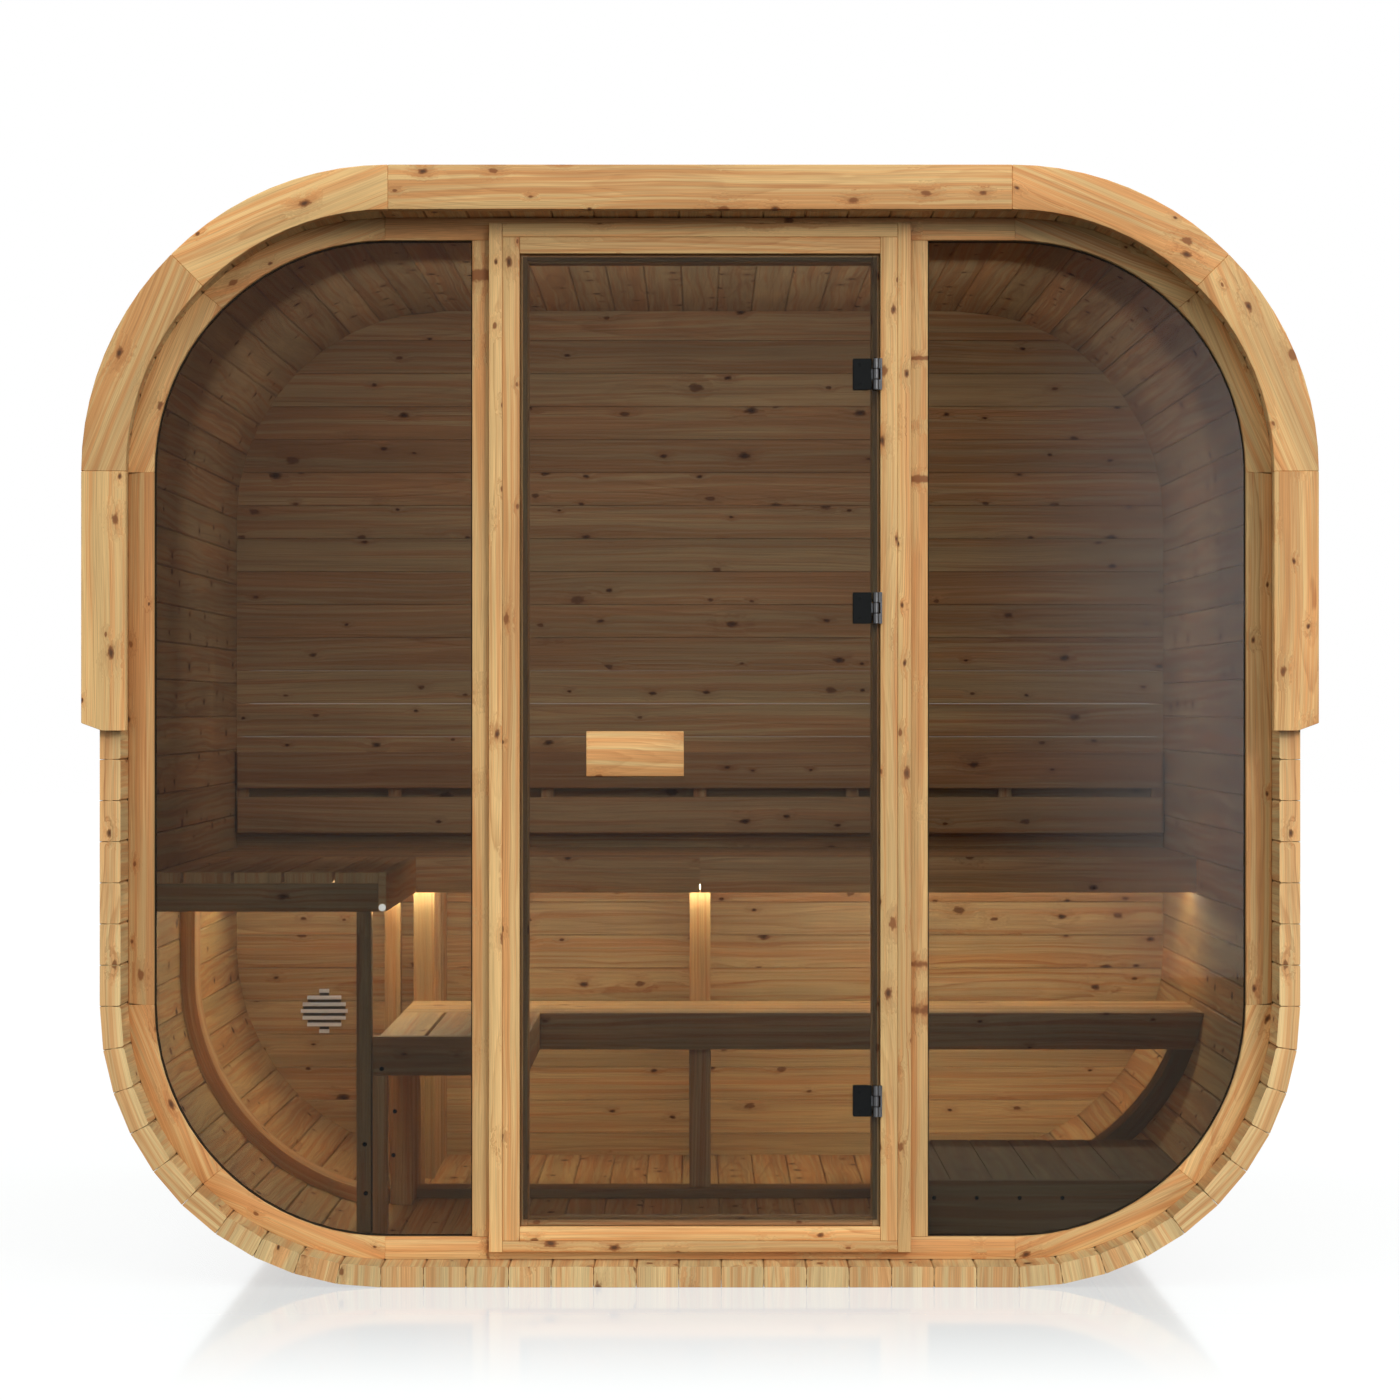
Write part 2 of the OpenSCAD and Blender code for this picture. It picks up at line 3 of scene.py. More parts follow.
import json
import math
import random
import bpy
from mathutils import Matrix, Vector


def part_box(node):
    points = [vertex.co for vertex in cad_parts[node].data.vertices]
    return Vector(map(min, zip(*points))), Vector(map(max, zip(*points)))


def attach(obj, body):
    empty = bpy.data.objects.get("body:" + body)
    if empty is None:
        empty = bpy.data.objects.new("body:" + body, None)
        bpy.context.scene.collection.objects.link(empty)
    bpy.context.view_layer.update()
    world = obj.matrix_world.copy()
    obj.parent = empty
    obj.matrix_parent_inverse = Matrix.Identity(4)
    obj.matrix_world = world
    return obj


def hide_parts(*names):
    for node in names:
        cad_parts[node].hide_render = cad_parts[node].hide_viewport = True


bl_info = {
    "name": "Cube Sauna",
    "version": (1, 0, 0),
    "blender": (4, 5, 0),
    "location": "3D View > Sidebar > Sauna",
    "description": "Builds a cube sauna board by board: staves, roof, glazed front, door, benches and lights",
    "category": "Object",
}

import bmesh
import bpy
from mathutils import Matrix, Vector

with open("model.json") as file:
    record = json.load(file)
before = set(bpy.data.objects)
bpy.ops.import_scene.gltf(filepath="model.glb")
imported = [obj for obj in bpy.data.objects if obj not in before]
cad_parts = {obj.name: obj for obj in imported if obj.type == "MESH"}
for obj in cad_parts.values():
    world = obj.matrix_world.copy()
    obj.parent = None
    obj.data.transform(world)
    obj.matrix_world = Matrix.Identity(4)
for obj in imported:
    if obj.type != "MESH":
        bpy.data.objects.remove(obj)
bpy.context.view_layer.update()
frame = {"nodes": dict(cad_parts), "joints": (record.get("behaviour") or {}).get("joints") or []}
BOX = {name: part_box(name) for name in frame["nodes"]}

X, Y, Z = Vector((1, 0, 0)), Vector((0, 1, 0)), Vector((0, 0, 1))
AXES = {"X": X, "Y": Y, "Z": Z}
SIDES = (("left", -1), ("right", 1))
MM = 0.001

# Sizes of pieces that share a node, so that the frame's boxes don't give them.
SEAT = 0.3 * MM  # from a piece to the curve it is sawn or bent to
EASE = 2 * MM  # taken off the edges of frames and slats
BENCH_EASE = 1.8 * MM  # taken off the edges of the other bench boards
POST_T = 45 * MM  # thickness of the posts and panels under the benches
SLIM_T = 28 * MM  # thickness of the slim posts and of the platform's frame
BOARD_T = 22 * MM  # thickness of the boards along the lower left bench
BATTEN_H = 20 * MM  # height of the batten on the floor
CHAMFER_W, CHAMFER_H = 38 * MM, 14 * MM  # under each leg of a fascia
GROOVE_DEPTH = 10 * MM  # how deep the window glass sits in its frame
DOOR_GAP = 6 * MM  # between the door glass and its frame
HINGE_H, BARREL_R = 58 * MM, 6 * MM  # height of a hinge, radius of its barrel
MIDDLE_HINGE_Z = 1247 * MM

# Finishes.
WOOD_SLOTS = {"Stave": "stave_wood", "Frame": "frame_wood", "Bench": "bench_wood", "Rib": "bench_wood",
              "Roof": "roof_boards"}
# painted shade: a tone far below any board's own tone, for boards that lie in the dark
PAINTED_SHADE_TONE = -2.0  # tone of the darkest boards
CUT_DEPTH = 0.06  # metres from the heart of the tree to the end grain that shows
GLASS_SHADE = (0.25, 0.288, 0.311)  # share of the light from outside that a face of a pane lets in
KNOT_SCALE = 14.0  # places where a knot may be, to a metre across the board

# The tube's outline, read from the frame.
TUBE_Y0, TUBE_Y1 = BOX["floor_staves"][0].y, BOX["floor_staves"][1].y
STAVE_T = BOX["floor_staves"][1].z
IN_W = BOX["right_wall_staves"][0].x
FLOOR_Z, CEILING_Z = STAVE_T, BOX["ceiling_staves"][0].z
CORNER_X = BOX["floor_staves"][1].x
CORNER_Z0, CORNER_Z1 = BOX["right_wall_staves"][0].z, BOX["right_wall_staves"][1].z
CORNER_IN_R = IN_W - CORNER_X
ROOF_T = BOX["roof_top"][1].z - BOX["roof_top"][0].z
ROOF_EDGE_Z = BOX["roof_right"][0].z


# ---- settings ----


class SaunaWood(bpy.types.PropertyGroup):
    """Colours and grain of the wood."""

    stave_color: bpy.props.FloatVectorProperty(
        name="Staves", description="Main colour of the staves and the back wall", subtype="COLOR", size=3,
        default=(0.58, 0.355, 0.165), min=0, max=1)
    frame_color: bpy.props.FloatVectorProperty(
        name="Frames and fascias", description="Main colour of the fascias, the window frames and the door frame",
        subtype="COLOR", size=3, default=(0.66, 0.366, 0.153), min=0, max=1)
    bench_color: bpy.props.FloatVectorProperty(
        name="Benches", description="Main colour of the benches and the backrest", subtype="COLOR", size=3,
        default=(0.54, 0.315, 0.150), min=0, max=1)
    roof_color: bpy.props.FloatVectorProperty(
        name="Roof boards", description="Main colour of the boards over the upper half", subtype="COLOR", size=3,
        default=(0.60, 0.345, 0.150), min=0, max=1)
    knot_share: bpy.props.FloatProperty(
        name="Knots", description="Share of the places where a knot may be that hold one", subtype="FACTOR",
        default=0.6, min=0, max=1)
    ring_width: bpy.props.FloatProperty(
        name="Ring width", description="Mean width of a growth ring", subtype="DISTANCE", unit="LENGTH",
        default=0.0034, min=0.002, max=0.02)


class SaunaBoards(bpy.types.PropertyGroup):
    """Board counts and joint sizes."""

    floor_count: bpy.props.IntProperty(
        name="Staves across the floor", description="Also the number across the ceiling and the roof",
        default=15, min=8, max=24)
    wall_count: bpy.props.IntProperty(
        name="Staves up a wall", description="Number of staves in each straight side wall", default=13, min=6, max=20)
    corner_count: bpy.props.IntProperty(
        name="Staves round a corner", description="Number of staves in each rounded corner", default=10, min=5, max=16)
    groove: bpy.props.FloatProperty(
        name="V-groove", description="Depth and half width of the groove between two boards", subtype="DISTANCE",
        unit="LENGTH", default=0.003, min=0.001, max=0.008)
    back_pitch: bpy.props.FloatProperty(
        name="Back wall boards", description="Height of a board of the back wall", subtype="DISTANCE", unit="LENGTH",
        default=0.0757, min=0.05, max=0.15)
    slat_pitch: bpy.props.FloatProperty(
        name="Bench slats", description="Spacing of the bench slats", subtype="DISTANCE", unit="LENGTH",
        default=0.098, min=0.06, max=0.15)
    slat_gap: bpy.props.FloatProperty(
        name="Slat gap", description="Gap between two bench slats", subtype="DISTANCE", unit="LENGTH",
        default=0.006, min=0.002, max=0.02)


class SaunaLight(bpy.types.PropertyGroup):
    """Glass, bench light and studio light."""

    glass_tint: bpy.props.FloatVectorProperty(
        name="Glass tint", description="Colour that a pane gives to what is behind it", subtype="COLOR",
        size=3, default=(0.43, 0.435, 0.42), min=0, max=1)
    strip_color: bpy.props.FloatVectorProperty(
        name="Bench light", description="Colour of the light under the benches", subtype="COLOR", size=3,
        default=(0.93, 1.0, 0.73), min=0, max=1)
    strip_strength: bpy.props.FloatProperty(
        name="Bench light strength", description="Brightness of the light strips under the benches",
        default=46.0, min=0, max=500)
    lamp_color: bpy.props.FloatVectorProperty(
        name="Lamp colour", description="Colour of the lamps in front of the sauna", subtype="COLOR", size=3,
        default=(1.0, 0.97, 0.925), min=0, max=1)
    key_power: bpy.props.FloatProperty(
        name="Key lamp", description="Power of the large lamp at the upper right", subtype="POWER", unit="POWER",
        default=155.0, min=0, max=10000)
    cabin_power: bpy.props.FloatProperty(
        name="Cabin lamp", description="Power of the soft lamp that lights the back wall", subtype="POWER",
        unit="POWER", default=5.5, min=0, max=500)
    low_power: bpy.props.FloatProperty(
        name="Low lamp", description="Power of the soft lamp behind the front of the lower bench", subtype="POWER",
        unit="POWER", default=1.9, min=0, max=500)
    under_power: bpy.props.FloatProperty(
        name="Under lamp", description="Power of the soft lamp under the upper bench", subtype="POWER",
        unit="POWER", default=3.6, min=0, max=500)
    sky_strength: bpy.props.FloatProperty(
        name="Even light", description="Strength of the even light from all sides", default=1.54, min=0, max=5)
    haze: bpy.props.FloatProperty(
        name="Haze", description="Brightness of the pale card that the right window mirrors", default=10.0, min=0,
        max=50)


# ---- shader helpers ----


class Shading:
    """Adds nodes to a tree, each call giving back one output socket."""

    def __init__(self, tree):
        self.tree = tree

    def node(self, kind, inputs=(), out=0, **settings):
        made = self.tree.nodes.new("ShaderNode" + kind)
        for key, value in settings.items():
            setattr(made, key, value)
        pairs = inputs.items() if isinstance(inputs, dict) else enumerate(inputs)
        for key, value in pairs:
            if isinstance(value, bpy.types.NodeSocket):
                self.tree.links.new(value, made.inputs[key])
            elif value is not None:
                made.inputs[key].default_value = value
        return made.outputs[out]

    def math(self, operation, *values, clamp=False):
        return self.node("Math", values, operation=operation, use_clamp=clamp)

    def mix(self, factor, a, b, blend="MIX"):
        return self.node("Mix", {0: factor, 6: a, 7: b}, out=2, data_type="RGBA", blend_type=blend)

    def ramp(self, value, low, high, to_low=0.0, to_high=1.0, smooth=True):
        kind = "SMOOTHSTEP" if smooth else "LINEAR"
        return self.node("MapRange", (value, low, high, to_low, to_high), interpolation_type=kind)

    def stretch(self, u, v, w, su, sv, sw):
        parts = [self.math("MULTIPLY", value, scale) for value, scale in ((u, su), (v, sv), (w, sw))]
        return self.node("CombineXYZ", parts)


def group_tree(name, inputs, outputs):
    """A new shader group with named sockets, and the output sockets of its input node."""
    tree = bpy.data.node_groups.new(name, "ShaderNodeTree")
    for label, kind, default in inputs:
        socket = tree.interface.new_socket(label, in_out="INPUT", socket_type="NodeSocket" + kind)
        if default is not None:
            socket.default_value = default
    for label, kind in outputs:
        tree.interface.new_socket(label, in_out="OUTPUT", socket_type="NodeSocket" + kind)
    entry = tree.nodes.new("NodeGroupInput")
    leave = tree.nodes.new("NodeGroupOutput")
    return tree, {socket.name: socket for socket in entry.outputs}, leave


def timber_group():
    """Softwood: streaks and growth lines drawn out along the board, small knots and the tone of each board."""
    tree, given, leave = group_tree(
        "Timber grain",
        (("Place", "Vector", None), ("Tone", "Float", 0.5), ("Wood", "Color", (0.6, 0.35, 0.15, 1)),
         ("Late wood", "Float", 0.5), ("Ring width", "Float", 0.0035), ("Knot share", "Float", 0.5),
         ("Knot size", "Float", 1.0)),
        (("Color", "Color"), ("Roughness", "Float"), ("Height", "Float")))
    s = Shading(tree)
    split = tree.nodes.new("ShaderNodeSeparateXYZ")
    tree.links.new(given["Place"], split.inputs[0])
    u, v, w = split.outputs
    tone = given["Tone"]

    # knots: small, drawn out along the board, most of them dark
    cells = tree.nodes.new("ShaderNodeTexVoronoi")
    cells.voronoi_dimensions = "2D"
    cells.inputs["Scale"].default_value = KNOT_SCALE
    tree.links.new(s.stretch(u, v, w, 0.55, 1, 0), cells.inputs["Vector"])
    picks = s.node("SeparateColor", (cells.outputs["Color"],)).node.outputs
    wobble = s.node("TexNoise", {"Vector": s.stretch(u, v, w, 110, 190, 110), "Scale": 1.0, "Detail": 1.0})
    distance = s.math("MULTIPLY", cells.outputs["Distance"], 1 / KNOT_SCALE)
    distance = s.math("MULTIPLY", distance, s.ramp(wobble, 0.2, 0.8, 0.75, 1.3))
    radius = s.math("MULTIPLY_ADD", s.math("POWER", picks[0], 2.0), 0.0036, 0.0018)
    radius = s.math("MULTIPLY", radius, given["Knot size"])
    kept = s.math("GREATER_THAN", given["Knot share"], picks[1])
    reach = s.math("DIVIDE", distance, radius)
    knot = s.math("MULTIPLY", s.ramp(reach, 1.35, 0.7), kept)
    heart = s.math("MULTIPLY", s.ramp(reach, 0.9, 0.2), s.math("MULTIPLY", kept, s.ramp(picks[2], 0.2, 0.6)))
    halo = s.math("MULTIPLY", s.ramp(reach, 5.0, 0.8), kept)

    # where the grain lines run: nearly straight, bent by slow waves and round the knots
    slow = s.node("TexNoise", {"Vector": s.stretch(u, v, w, 1.1, 4, 4), "Scale": 1.0, "Detail": 2.0})
    quick = s.node("TexNoise", {"Vector": s.stretch(u, v, w, 7, 55, 55), "Scale": 1.0, "Detail": 2.0})
    drift = s.math("MULTIPLY", s.math("SUBTRACT", slow, 0.5), 0.055)
    drift = s.math("MULTIPLY_ADD", s.math("SUBTRACT", quick, 0.5), 0.0045, drift)
    drift = s.math("MULTIPLY_ADD", halo, 0.0055, drift)
    across = s.math("ADD", v, drift)
    deep = s.math("MULTIPLY_ADD", drift, 0.5, w)

    fine = s.node("TexNoise", {"Vector": s.stretch(u, across, deep, 4, 560, 560), "Scale": 1.0, "Detail": 3.0,
                               "Roughness": 0.65})
    band = s.node("TexNoise", {"Vector": s.stretch(u, across, deep, 1.4, 105, 70), "Scale": 1.0, "Detail": 2.0})
    broad = s.node("TexNoise", {"Vector": s.stretch(u, across, deep, 0.9, 28, 20), "Scale": 1.0, "Detail": 1.0})
    cloud = s.node("TexNoise", {"Vector": s.stretch(u, v, w, 4, 16, 16), "Scale": 1.0, "Detail": 2.0})

    # growth lines, a few of them much darker
    from_heart = s.node("VectorMath", (s.node("CombineXYZ", (0.0, v, w)),), out=1, operation="LENGTH")
    count = s.math("DIVIDE", s.math("ADD", from_heart, drift), given["Ring width"])
    phase = s.math("FRACT", count)
    late = s.math("MULTIPLY", s.math("POWER", phase, 2.0), s.ramp(phase, 1.0, 0.86))
    yearly = s.node("TexWhiteNoise", {"W": s.math("FLOOR", count)}, noise_dimensions="1D")
    late = s.math("MULTIPLY", late, s.math("MULTIPLY_ADD", s.math("POWER", yearly, 3.0), 1.1, 0.25))
    late = s.math("MULTIPLY", late, s.ramp(cloud, 0.3, 0.65, 0.35, 1.0))

    # the tone is not clamped: tones below 0 paint shade on boards in the dark, tones above 1 paint light on the lit
    # end faces
    shade = s.math("MULTIPLY_ADD", tone, 0.22, 0.88)
    shade = s.math("MULTIPLY", shade, s.ramp(fine, 0.28, 0.72, 0.79, 1.17, smooth=False))
    shade = s.math("MULTIPLY", shade, s.ramp(broad, 0.3, 0.7, 0.88, 1.09))
    shade = s.math("MULTIPLY", shade, s.ramp(cloud, 0.3, 0.7, 0.94, 1.05))
    color = s.mix(1.0, given["Wood"], s.node("CombineColor", (shade, shade, shade)), "MULTIPLY")
    pale = s.mix(1.0, color, (1.05, 1.13, 1.16, 1), "MULTIPLY")
    ruddy = s.mix(1.0, color, (0.97, 0.79, 0.68, 1), "MULTIPLY")
    board_red = s.math("FRACT", s.math("MULTIPLY", tone, 7.3))
    red = s.math("ADD", band, s.math("MULTIPLY_ADD", board_red, 0.16, -0.08))
    color = s.mix(s.ramp(red, 0.40, 0.64), pale, ruddy)
    dark = s.mix(1.0, color, (0.62, 0.43, 0.30, 1), "MULTIPLY")
    color = s.mix(s.math("MULTIPLY", late, given["Late wood"], clamp=True), color, dark)
    color = s.mix(s.math("MULTIPLY", halo, 0.3), color, dark)
    color = s.mix(s.math("MULTIPLY", knot, 0.9), color,
                  s.mix(1.0, given["Wood"], (0.34, 0.19, 0.12, 1), "MULTIPLY"))
    color = s.mix(s.math("MULTIPLY", heart, 0.75), color, (0.035, 0.016, 0.008, 1))
    tree.links.new(color, leave.inputs["Color"])
    rough = s.math("MULTIPLY_ADD", late, -0.1, s.ramp(fine, 0.2, 0.8, 0.54, 0.68))
    tree.links.new(rough, leave.inputs["Roughness"])
    high = s.math("MULTIPLY_ADD", late, 0.6, s.math("MULTIPLY", fine, 0.5))
    high = s.math("MULTIPLY_ADD", knot, -0.4, high)
    tree.links.new(high, leave.inputs["Height"])
    return tree


def new_material(name):
    """An empty material with its output node, and a helper for its tree."""
    material = bpy.data.materials.new(name)
    material.use_nodes = True
    tree = material.node_tree
    tree.nodes.clear()
    output = tree.nodes.new("ShaderNodeOutputMaterial")
    return material, Shading(tree), output


def surface(s, output, **values):
    """The output of the material's Principled shader, with named values or linked sockets."""
    shader = s.tree.nodes.new("ShaderNodeBsdfPrincipled")
    for name, value in values.items():
        socket = shader.inputs[name.replace("_", " ")]
        if isinstance(value, bpy.types.NodeSocket):
            s.tree.links.new(value, socket)
        else:
            socket.default_value = value
    s.tree.links.new(shader.outputs[0], output.inputs[0])
    return shader.outputs[0]


def wood(name, color, late, spacing=1.0, knots=(1.0, 1.0)):
    """Oiled softwood whose grain follows each board. knots gives their share and their size."""
    wood_set = bpy.context.scene.sauna_wood
    material, s, output = new_material(name)
    place = s.node("Attribute", out=1, attribute_name="grain")
    tone = s.node("Attribute", out=2, attribute_name="tone")
    group = s.tree.nodes.new("ShaderNodeGroup")
    group.node_tree = bpy.data.node_groups["Timber grain"]
    for label, value in (("Place", place), ("Tone", tone)):
        s.tree.links.new(value, group.inputs[label])
    group.inputs["Wood"].default_value = (*color, 1)
    group.inputs["Late wood"].default_value = late
    group.inputs["Ring width"].default_value = wood_set.ring_width * spacing
    group.inputs["Knot share"].default_value = wood_set.knot_share * knots[0]
    group.inputs["Knot size"].default_value = knots[1]
    bump = s.node("Bump", {"Strength": 0.5, "Distance": 0.6 * MM, "Height": group.outputs["Height"]})
    surface(s, output, Base_Color=group.outputs["Color"], Roughness=group.outputs["Roughness"], Normal=bump,
            Specular_IOR_Level=0.2)


def make_materials():
    """Every finish of the sauna."""
    timber_group()
    colors = bpy.context.scene.sauna_wood
    light = bpy.context.scene.sauna_light
    wood("Stave wood", colors.stave_color, 0.85, 1.3, (0.7, 1.6))
    wood("Frame wood", colors.frame_color, 0.9, 0.9, (1.5, 1.25))
    wood("Bench wood", colors.bench_color, 0.6, 1.0, (0.5, 1.3))
    # painted light: bench wood made 1.3 times lighter for the ribs; the bracket and the batten take painted shade
    # tones below 0
    wood("Rib wood", [c * 1.3 for c in colors.bench_color], 0.6, 1.0, (0.3, 1.0))
    wood("Roof wood", colors.roof_color, 0.7)

    material, s, output = new_material("Bronze glass")
    glass = surface(s, output, Base_Color=(*light.glass_tint, 1), Roughness=0.0, IOR=1.2, Transmission_Weight=1.0)
    shade = [share * c ** 0.5 for share, c in zip(GLASS_SHADE, light.glass_tint)]
    see = s.node("BsdfTransparent", ((*shade, 1),))
    shadow = s.node("LightPath", out=1)
    s.tree.links.new(s.node("MixShader", (shadow, glass, see)), output.inputs[0])

    for name, scale, detail, low, high, rough, level in (
            ("Rubber seal", 220.0, 2.0, (0.018, 0.011, 0.006, 1), (0.034, 0.022, 0.012, 1), 0.75, 0.12),
            ("Vent plastic", 60.0, 3.0, (0.86, 0.86, 0.88, 1), (0.95, 0.95, 0.97, 1), 0.45, 0.5),
            # the vent's slot plates: painted shade for the shadow in the gaps between the louvres
            ("Vent slot shade", 120.0, 2.0, (0.05, 0.036, 0.026, 1), (0.11, 0.08, 0.06, 1), 0.8, 0.5)):
        material, s, output = new_material(name)
        spots = s.node("TexNoise", {"Scale": scale, "Detail": detail})
        surface(s, output, Base_Color=s.mix(spots, low, high), Roughness=rough, Specular_IOR_Level=level)

    material, s, output = new_material("Black powder coat")
    spots = s.node("TexNoise", {"Scale": 900.0, "Detail": 2.0})
    bump = s.node("Bump", {"Strength": 0.3, "Distance": 0.0002, "Height": spots})
    surface(s, output, Base_Color=s.mix(spots, (0.004, 0.0042, 0.0045, 1), (0.009, 0.0095, 0.010, 1)),
            Roughness=s.ramp(spots, 0.3, 0.7, 0.42, 0.55), Specular_IOR_Level=0.06, Normal=bump)

    material, s, output = new_material("Brushed steel")
    place = s.node("TexCoord", out=3)
    lines = s.node("TexNoise", {"Vector": s.node("Mapping", {"Vector": place, "Scale": (900, 900, 12)}),
                                "Scale": 1.0, "Detail": 2.0})
    surface(s, output, Base_Color=s.mix(lines, (0.04, 0.041, 0.043, 1), (0.13, 0.13, 0.135, 1)),
            Roughness=s.ramp(lines, 0.3, 0.7, 0.28, 0.42), Metallic=1.0)

    material, s, output = new_material("Lamp cap")
    milk = s.node("TexNoise", {"Scale": 300.0, "Detail": 2.0})
    surface(s, output, Base_Color=(0.8, 0.8, 0.78, 1), Roughness=0.3, Emission_Strength=1.2,
            Emission_Color=s.mix(milk, (0.8, 0.8, 0.8, 1), (1.0, 0.99, 0.96, 1)))

    material, s, output = new_material("Light diffuser")
    milk = s.node("TexNoise", {"Scale": 40.0, "Detail": 2.0})
    warm = s.mix(milk, (*light.strip_color, 1), (*[min(1, c * 1.06) for c in light.strip_color], 1))
    surface(s, output, Base_Color=(0.85, 0.82, 0.75, 1), Roughness=0.4, Emission_Color=warm,
            Emission_Strength=light.strip_strength)


# ---- building boards ----


class Boards:
    """Boards gathered into one mesh. Each has its own tone and its own place in the tree for its grain."""

    def __init__(self, seed):
        self.mesh = bmesh.new()
        self.grain = self.mesh.loops.layers.float_vector.new("grain")
        self.tone = self.mesh.loops.layers.float.new("tone")
        self.random = random.Random(seed)

    def face(self, verts, grains, tone):
        """One face, with the grain's place at each of its corners."""
        for loop, grain in zip(self.mesh.faces.new(verts).loops, grains):
            loop[self.grain] = grain
            loop[self.tone] = tone

    def board(self, sections, tone=None, end_grain="through"):
        """One closed board from rings of (place, (along, across, through)), all with as many points.

        Its two ends show end grain that runs "through" the board or "up" the tube's side, or are cut along the
        grain, as a "face".
        """
        pick = self.random
        shift = Vector((pick.uniform(0, 40), pick.gauss(0, 0.05), pick.choice((-1, 1)) * pick.uniform(0.015, 0.12)))
        tone = pick.random() if tone is None else tone
        rings = [[self.mesh.verts.new(place) for place, grain in section] for section in sections]
        grains = [[Vector(grain) + shift for place, grain in section] for section in sections]
        count = len(rings[0])
        for k in range(len(rings) - 1):
            for i in range(count):
                j = (i + 1) % count
                corners = (k, i), (k, j), (k + 1, j), (k + 1, i)
                self.face([rings[a][b] for a, b in corners], [grains[a][b] for a, b in corners], tone)
        # painted light: end faces are lighter than the long faces, and the ends up the tube's sides lightest, as the
        # lit front band of the tube
        end_tone_painted_light = {"up": 1.6, "face": tone}.get(end_grain, 1.0 + 0.3 * tone)
        for k, turn in ((0, -1), (-1, 1)):
            ends = grains[k]
            if end_grain == "through":
                ends = [Vector((grain[2], grain[1], CUT_DEPTH)) + shift for place, grain in sections[k]]
            elif end_grain == "up":
                ends = [Vector((round_the_tube(place), grain[2], CUT_DEPTH)) for place, grain in sections[k]]
            self.face(rings[k][::turn], ends[::turn], end_tone_painted_light)

    def sweep(self, profile, start, end, across, through, cuts=(None, None), ease=1 * MM, tone=None):
        """A straight board: profile points (across, through), with its ends eased or cut at a slant."""
        along = (end - start).normalized()
        length = (end - start).length
        mid = [sum(p[i] for p in profile) / len(profile) for i in (0, 1)]
        sections = []
        for at, inset, cut in ((0, ease, 0), (ease, 0, 0), (length - ease, 0, 1), (length, ease, 1)):
            section = []
            for a, t in profile:
                a2, t2 = (v - math.copysign(min(inset, abs(v - m)), v - m) for v, m in zip((a, t), mid))
                u = at + (cuts[cut](a, t) if cuts[cut] else 0)
                section.append((start + along * u + across * a2 + through * t2, (u, a2, t2)))
            sections.append(section)
        self.board(sections, tone)

    def block(self, low, high, along, ease=BENCH_EASE, tone=None):
        """A board that fills a box, with its grain along one axis and its edges eased."""
        low, high = Vector(low), Vector(high)
        size = high - low
        rest = sorted((axis for axis in "XYZ" if axis != along), key=lambda axis: -size["XYZ".index(axis)])
        ia, iw, it = ("XYZ".index(axis) for axis in (along, *rest))
        start = (low + high) / 2
        start[ia], start[it] = low[ia], low[it]
        self.sweep(eased_profile(size[iw], size[it], ease), start, start + AXES[along] * size[ia], AXES[rest[0]],
                   AXES[rest[1]], ease=min(ease, 1 * MM), tone=tone)

    def row(self, low, high, along, across, pitch, gap, first=None):
        """Boards side by side across a box. first is the width of the first board."""
        i = "XYZ".index(across)
        at, width = low[i], first or pitch
        while at < high[i] - 4 * gap:
            one, two = low.copy(), high.copy()
            one[i], two[i] = at, min(at + width - gap, high[i])
            if high[i] - two[i] < 3 * gap:
                two[i] = high[i]
            self.block(one, two, along, EASE)
            at, width = two[i] + gap, pitch

    def done(self, name, wood, *nodes, slot=None, body="sauna"):
        """Turns the boards into a piece of one kind of wood that stands for CAD nodes."""
        make_piece(self.mesh, name, wood + " wood", slot or WOOD_SLOTS[wood], *nodes, body=body)


def one_board(name, wood, node, along, seed, ease=BENCH_EASE, tone=None, body="sauna"):
    """A CAD node that is a single board."""
    boards = Boards(seed)
    boards.block(*BOX[node], along, ease, tone)
    boards.done(name, wood, node, body=body)


def make_piece(mesh, name, material, slot, *nodes, body="sauna", angle=28):
    """An object from a bmesh: shaded, given its finish, and put on its body."""
    bmesh.ops.recalc_face_normals(mesh, faces=mesh.faces)
    data = bpy.data.meshes.new(name)
    mesh.to_mesh(data)
    mesh.free()
    data.shade_smooth()
    data.set_sharp_from_angle(angle=math.radians(angle))
    data.materials.append(bpy.data.materials[material])
    piece = bpy.data.objects.new(name, data)
    bpy.context.scene.collection.objects.link(piece)
    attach(piece, body)
    if nodes:
        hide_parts(*nodes)


def skin(mesh, rings, closed=False):
    """Faces from each ring of vertices to the next, with flat ends or, if closed, round to the first ring."""
    count = len(rings[0])
    for one, two in zip(rings, rings[1:] + rings[:1] * closed):
        for i in range(count):
            j = (i + 1) % count
            mesh.faces.new((one[i], one[j], two[j], two[i]))
    if not closed:
        mesh.faces.new(rings[0][::-1])
        mesh.faces.new(rings[-1])


def turned(mesh, levels, sides, place, closed=False):
    """A round part from (distance along it, radius) pairs. place turns (across, across, along) into a place."""
    turns = [2 * math.pi * i / sides for i in range(sides)]
    skin(mesh, [[mesh.verts.new(place(r * math.cos(t), r * math.sin(t), at)) for t in turns] for at, r in levels],
         closed)


def metal_box(mesh, low, high, ease):
    """A plate or strip with every edge eased."""
    low, high = Vector(low), Vector(high)
    made = bmesh.ops.create_cube(mesh, size=1.0, matrix=Matrix.Translation((low + high) / 2)
                                 @ Matrix.Diagonal((*(high - low), 1)))
    edges = {edge for vert in made["verts"] for edge in vert.link_edges}
    bmesh.ops.bevel(mesh, geom=list(edges), offset=ease, segments=2, affect="EDGES")


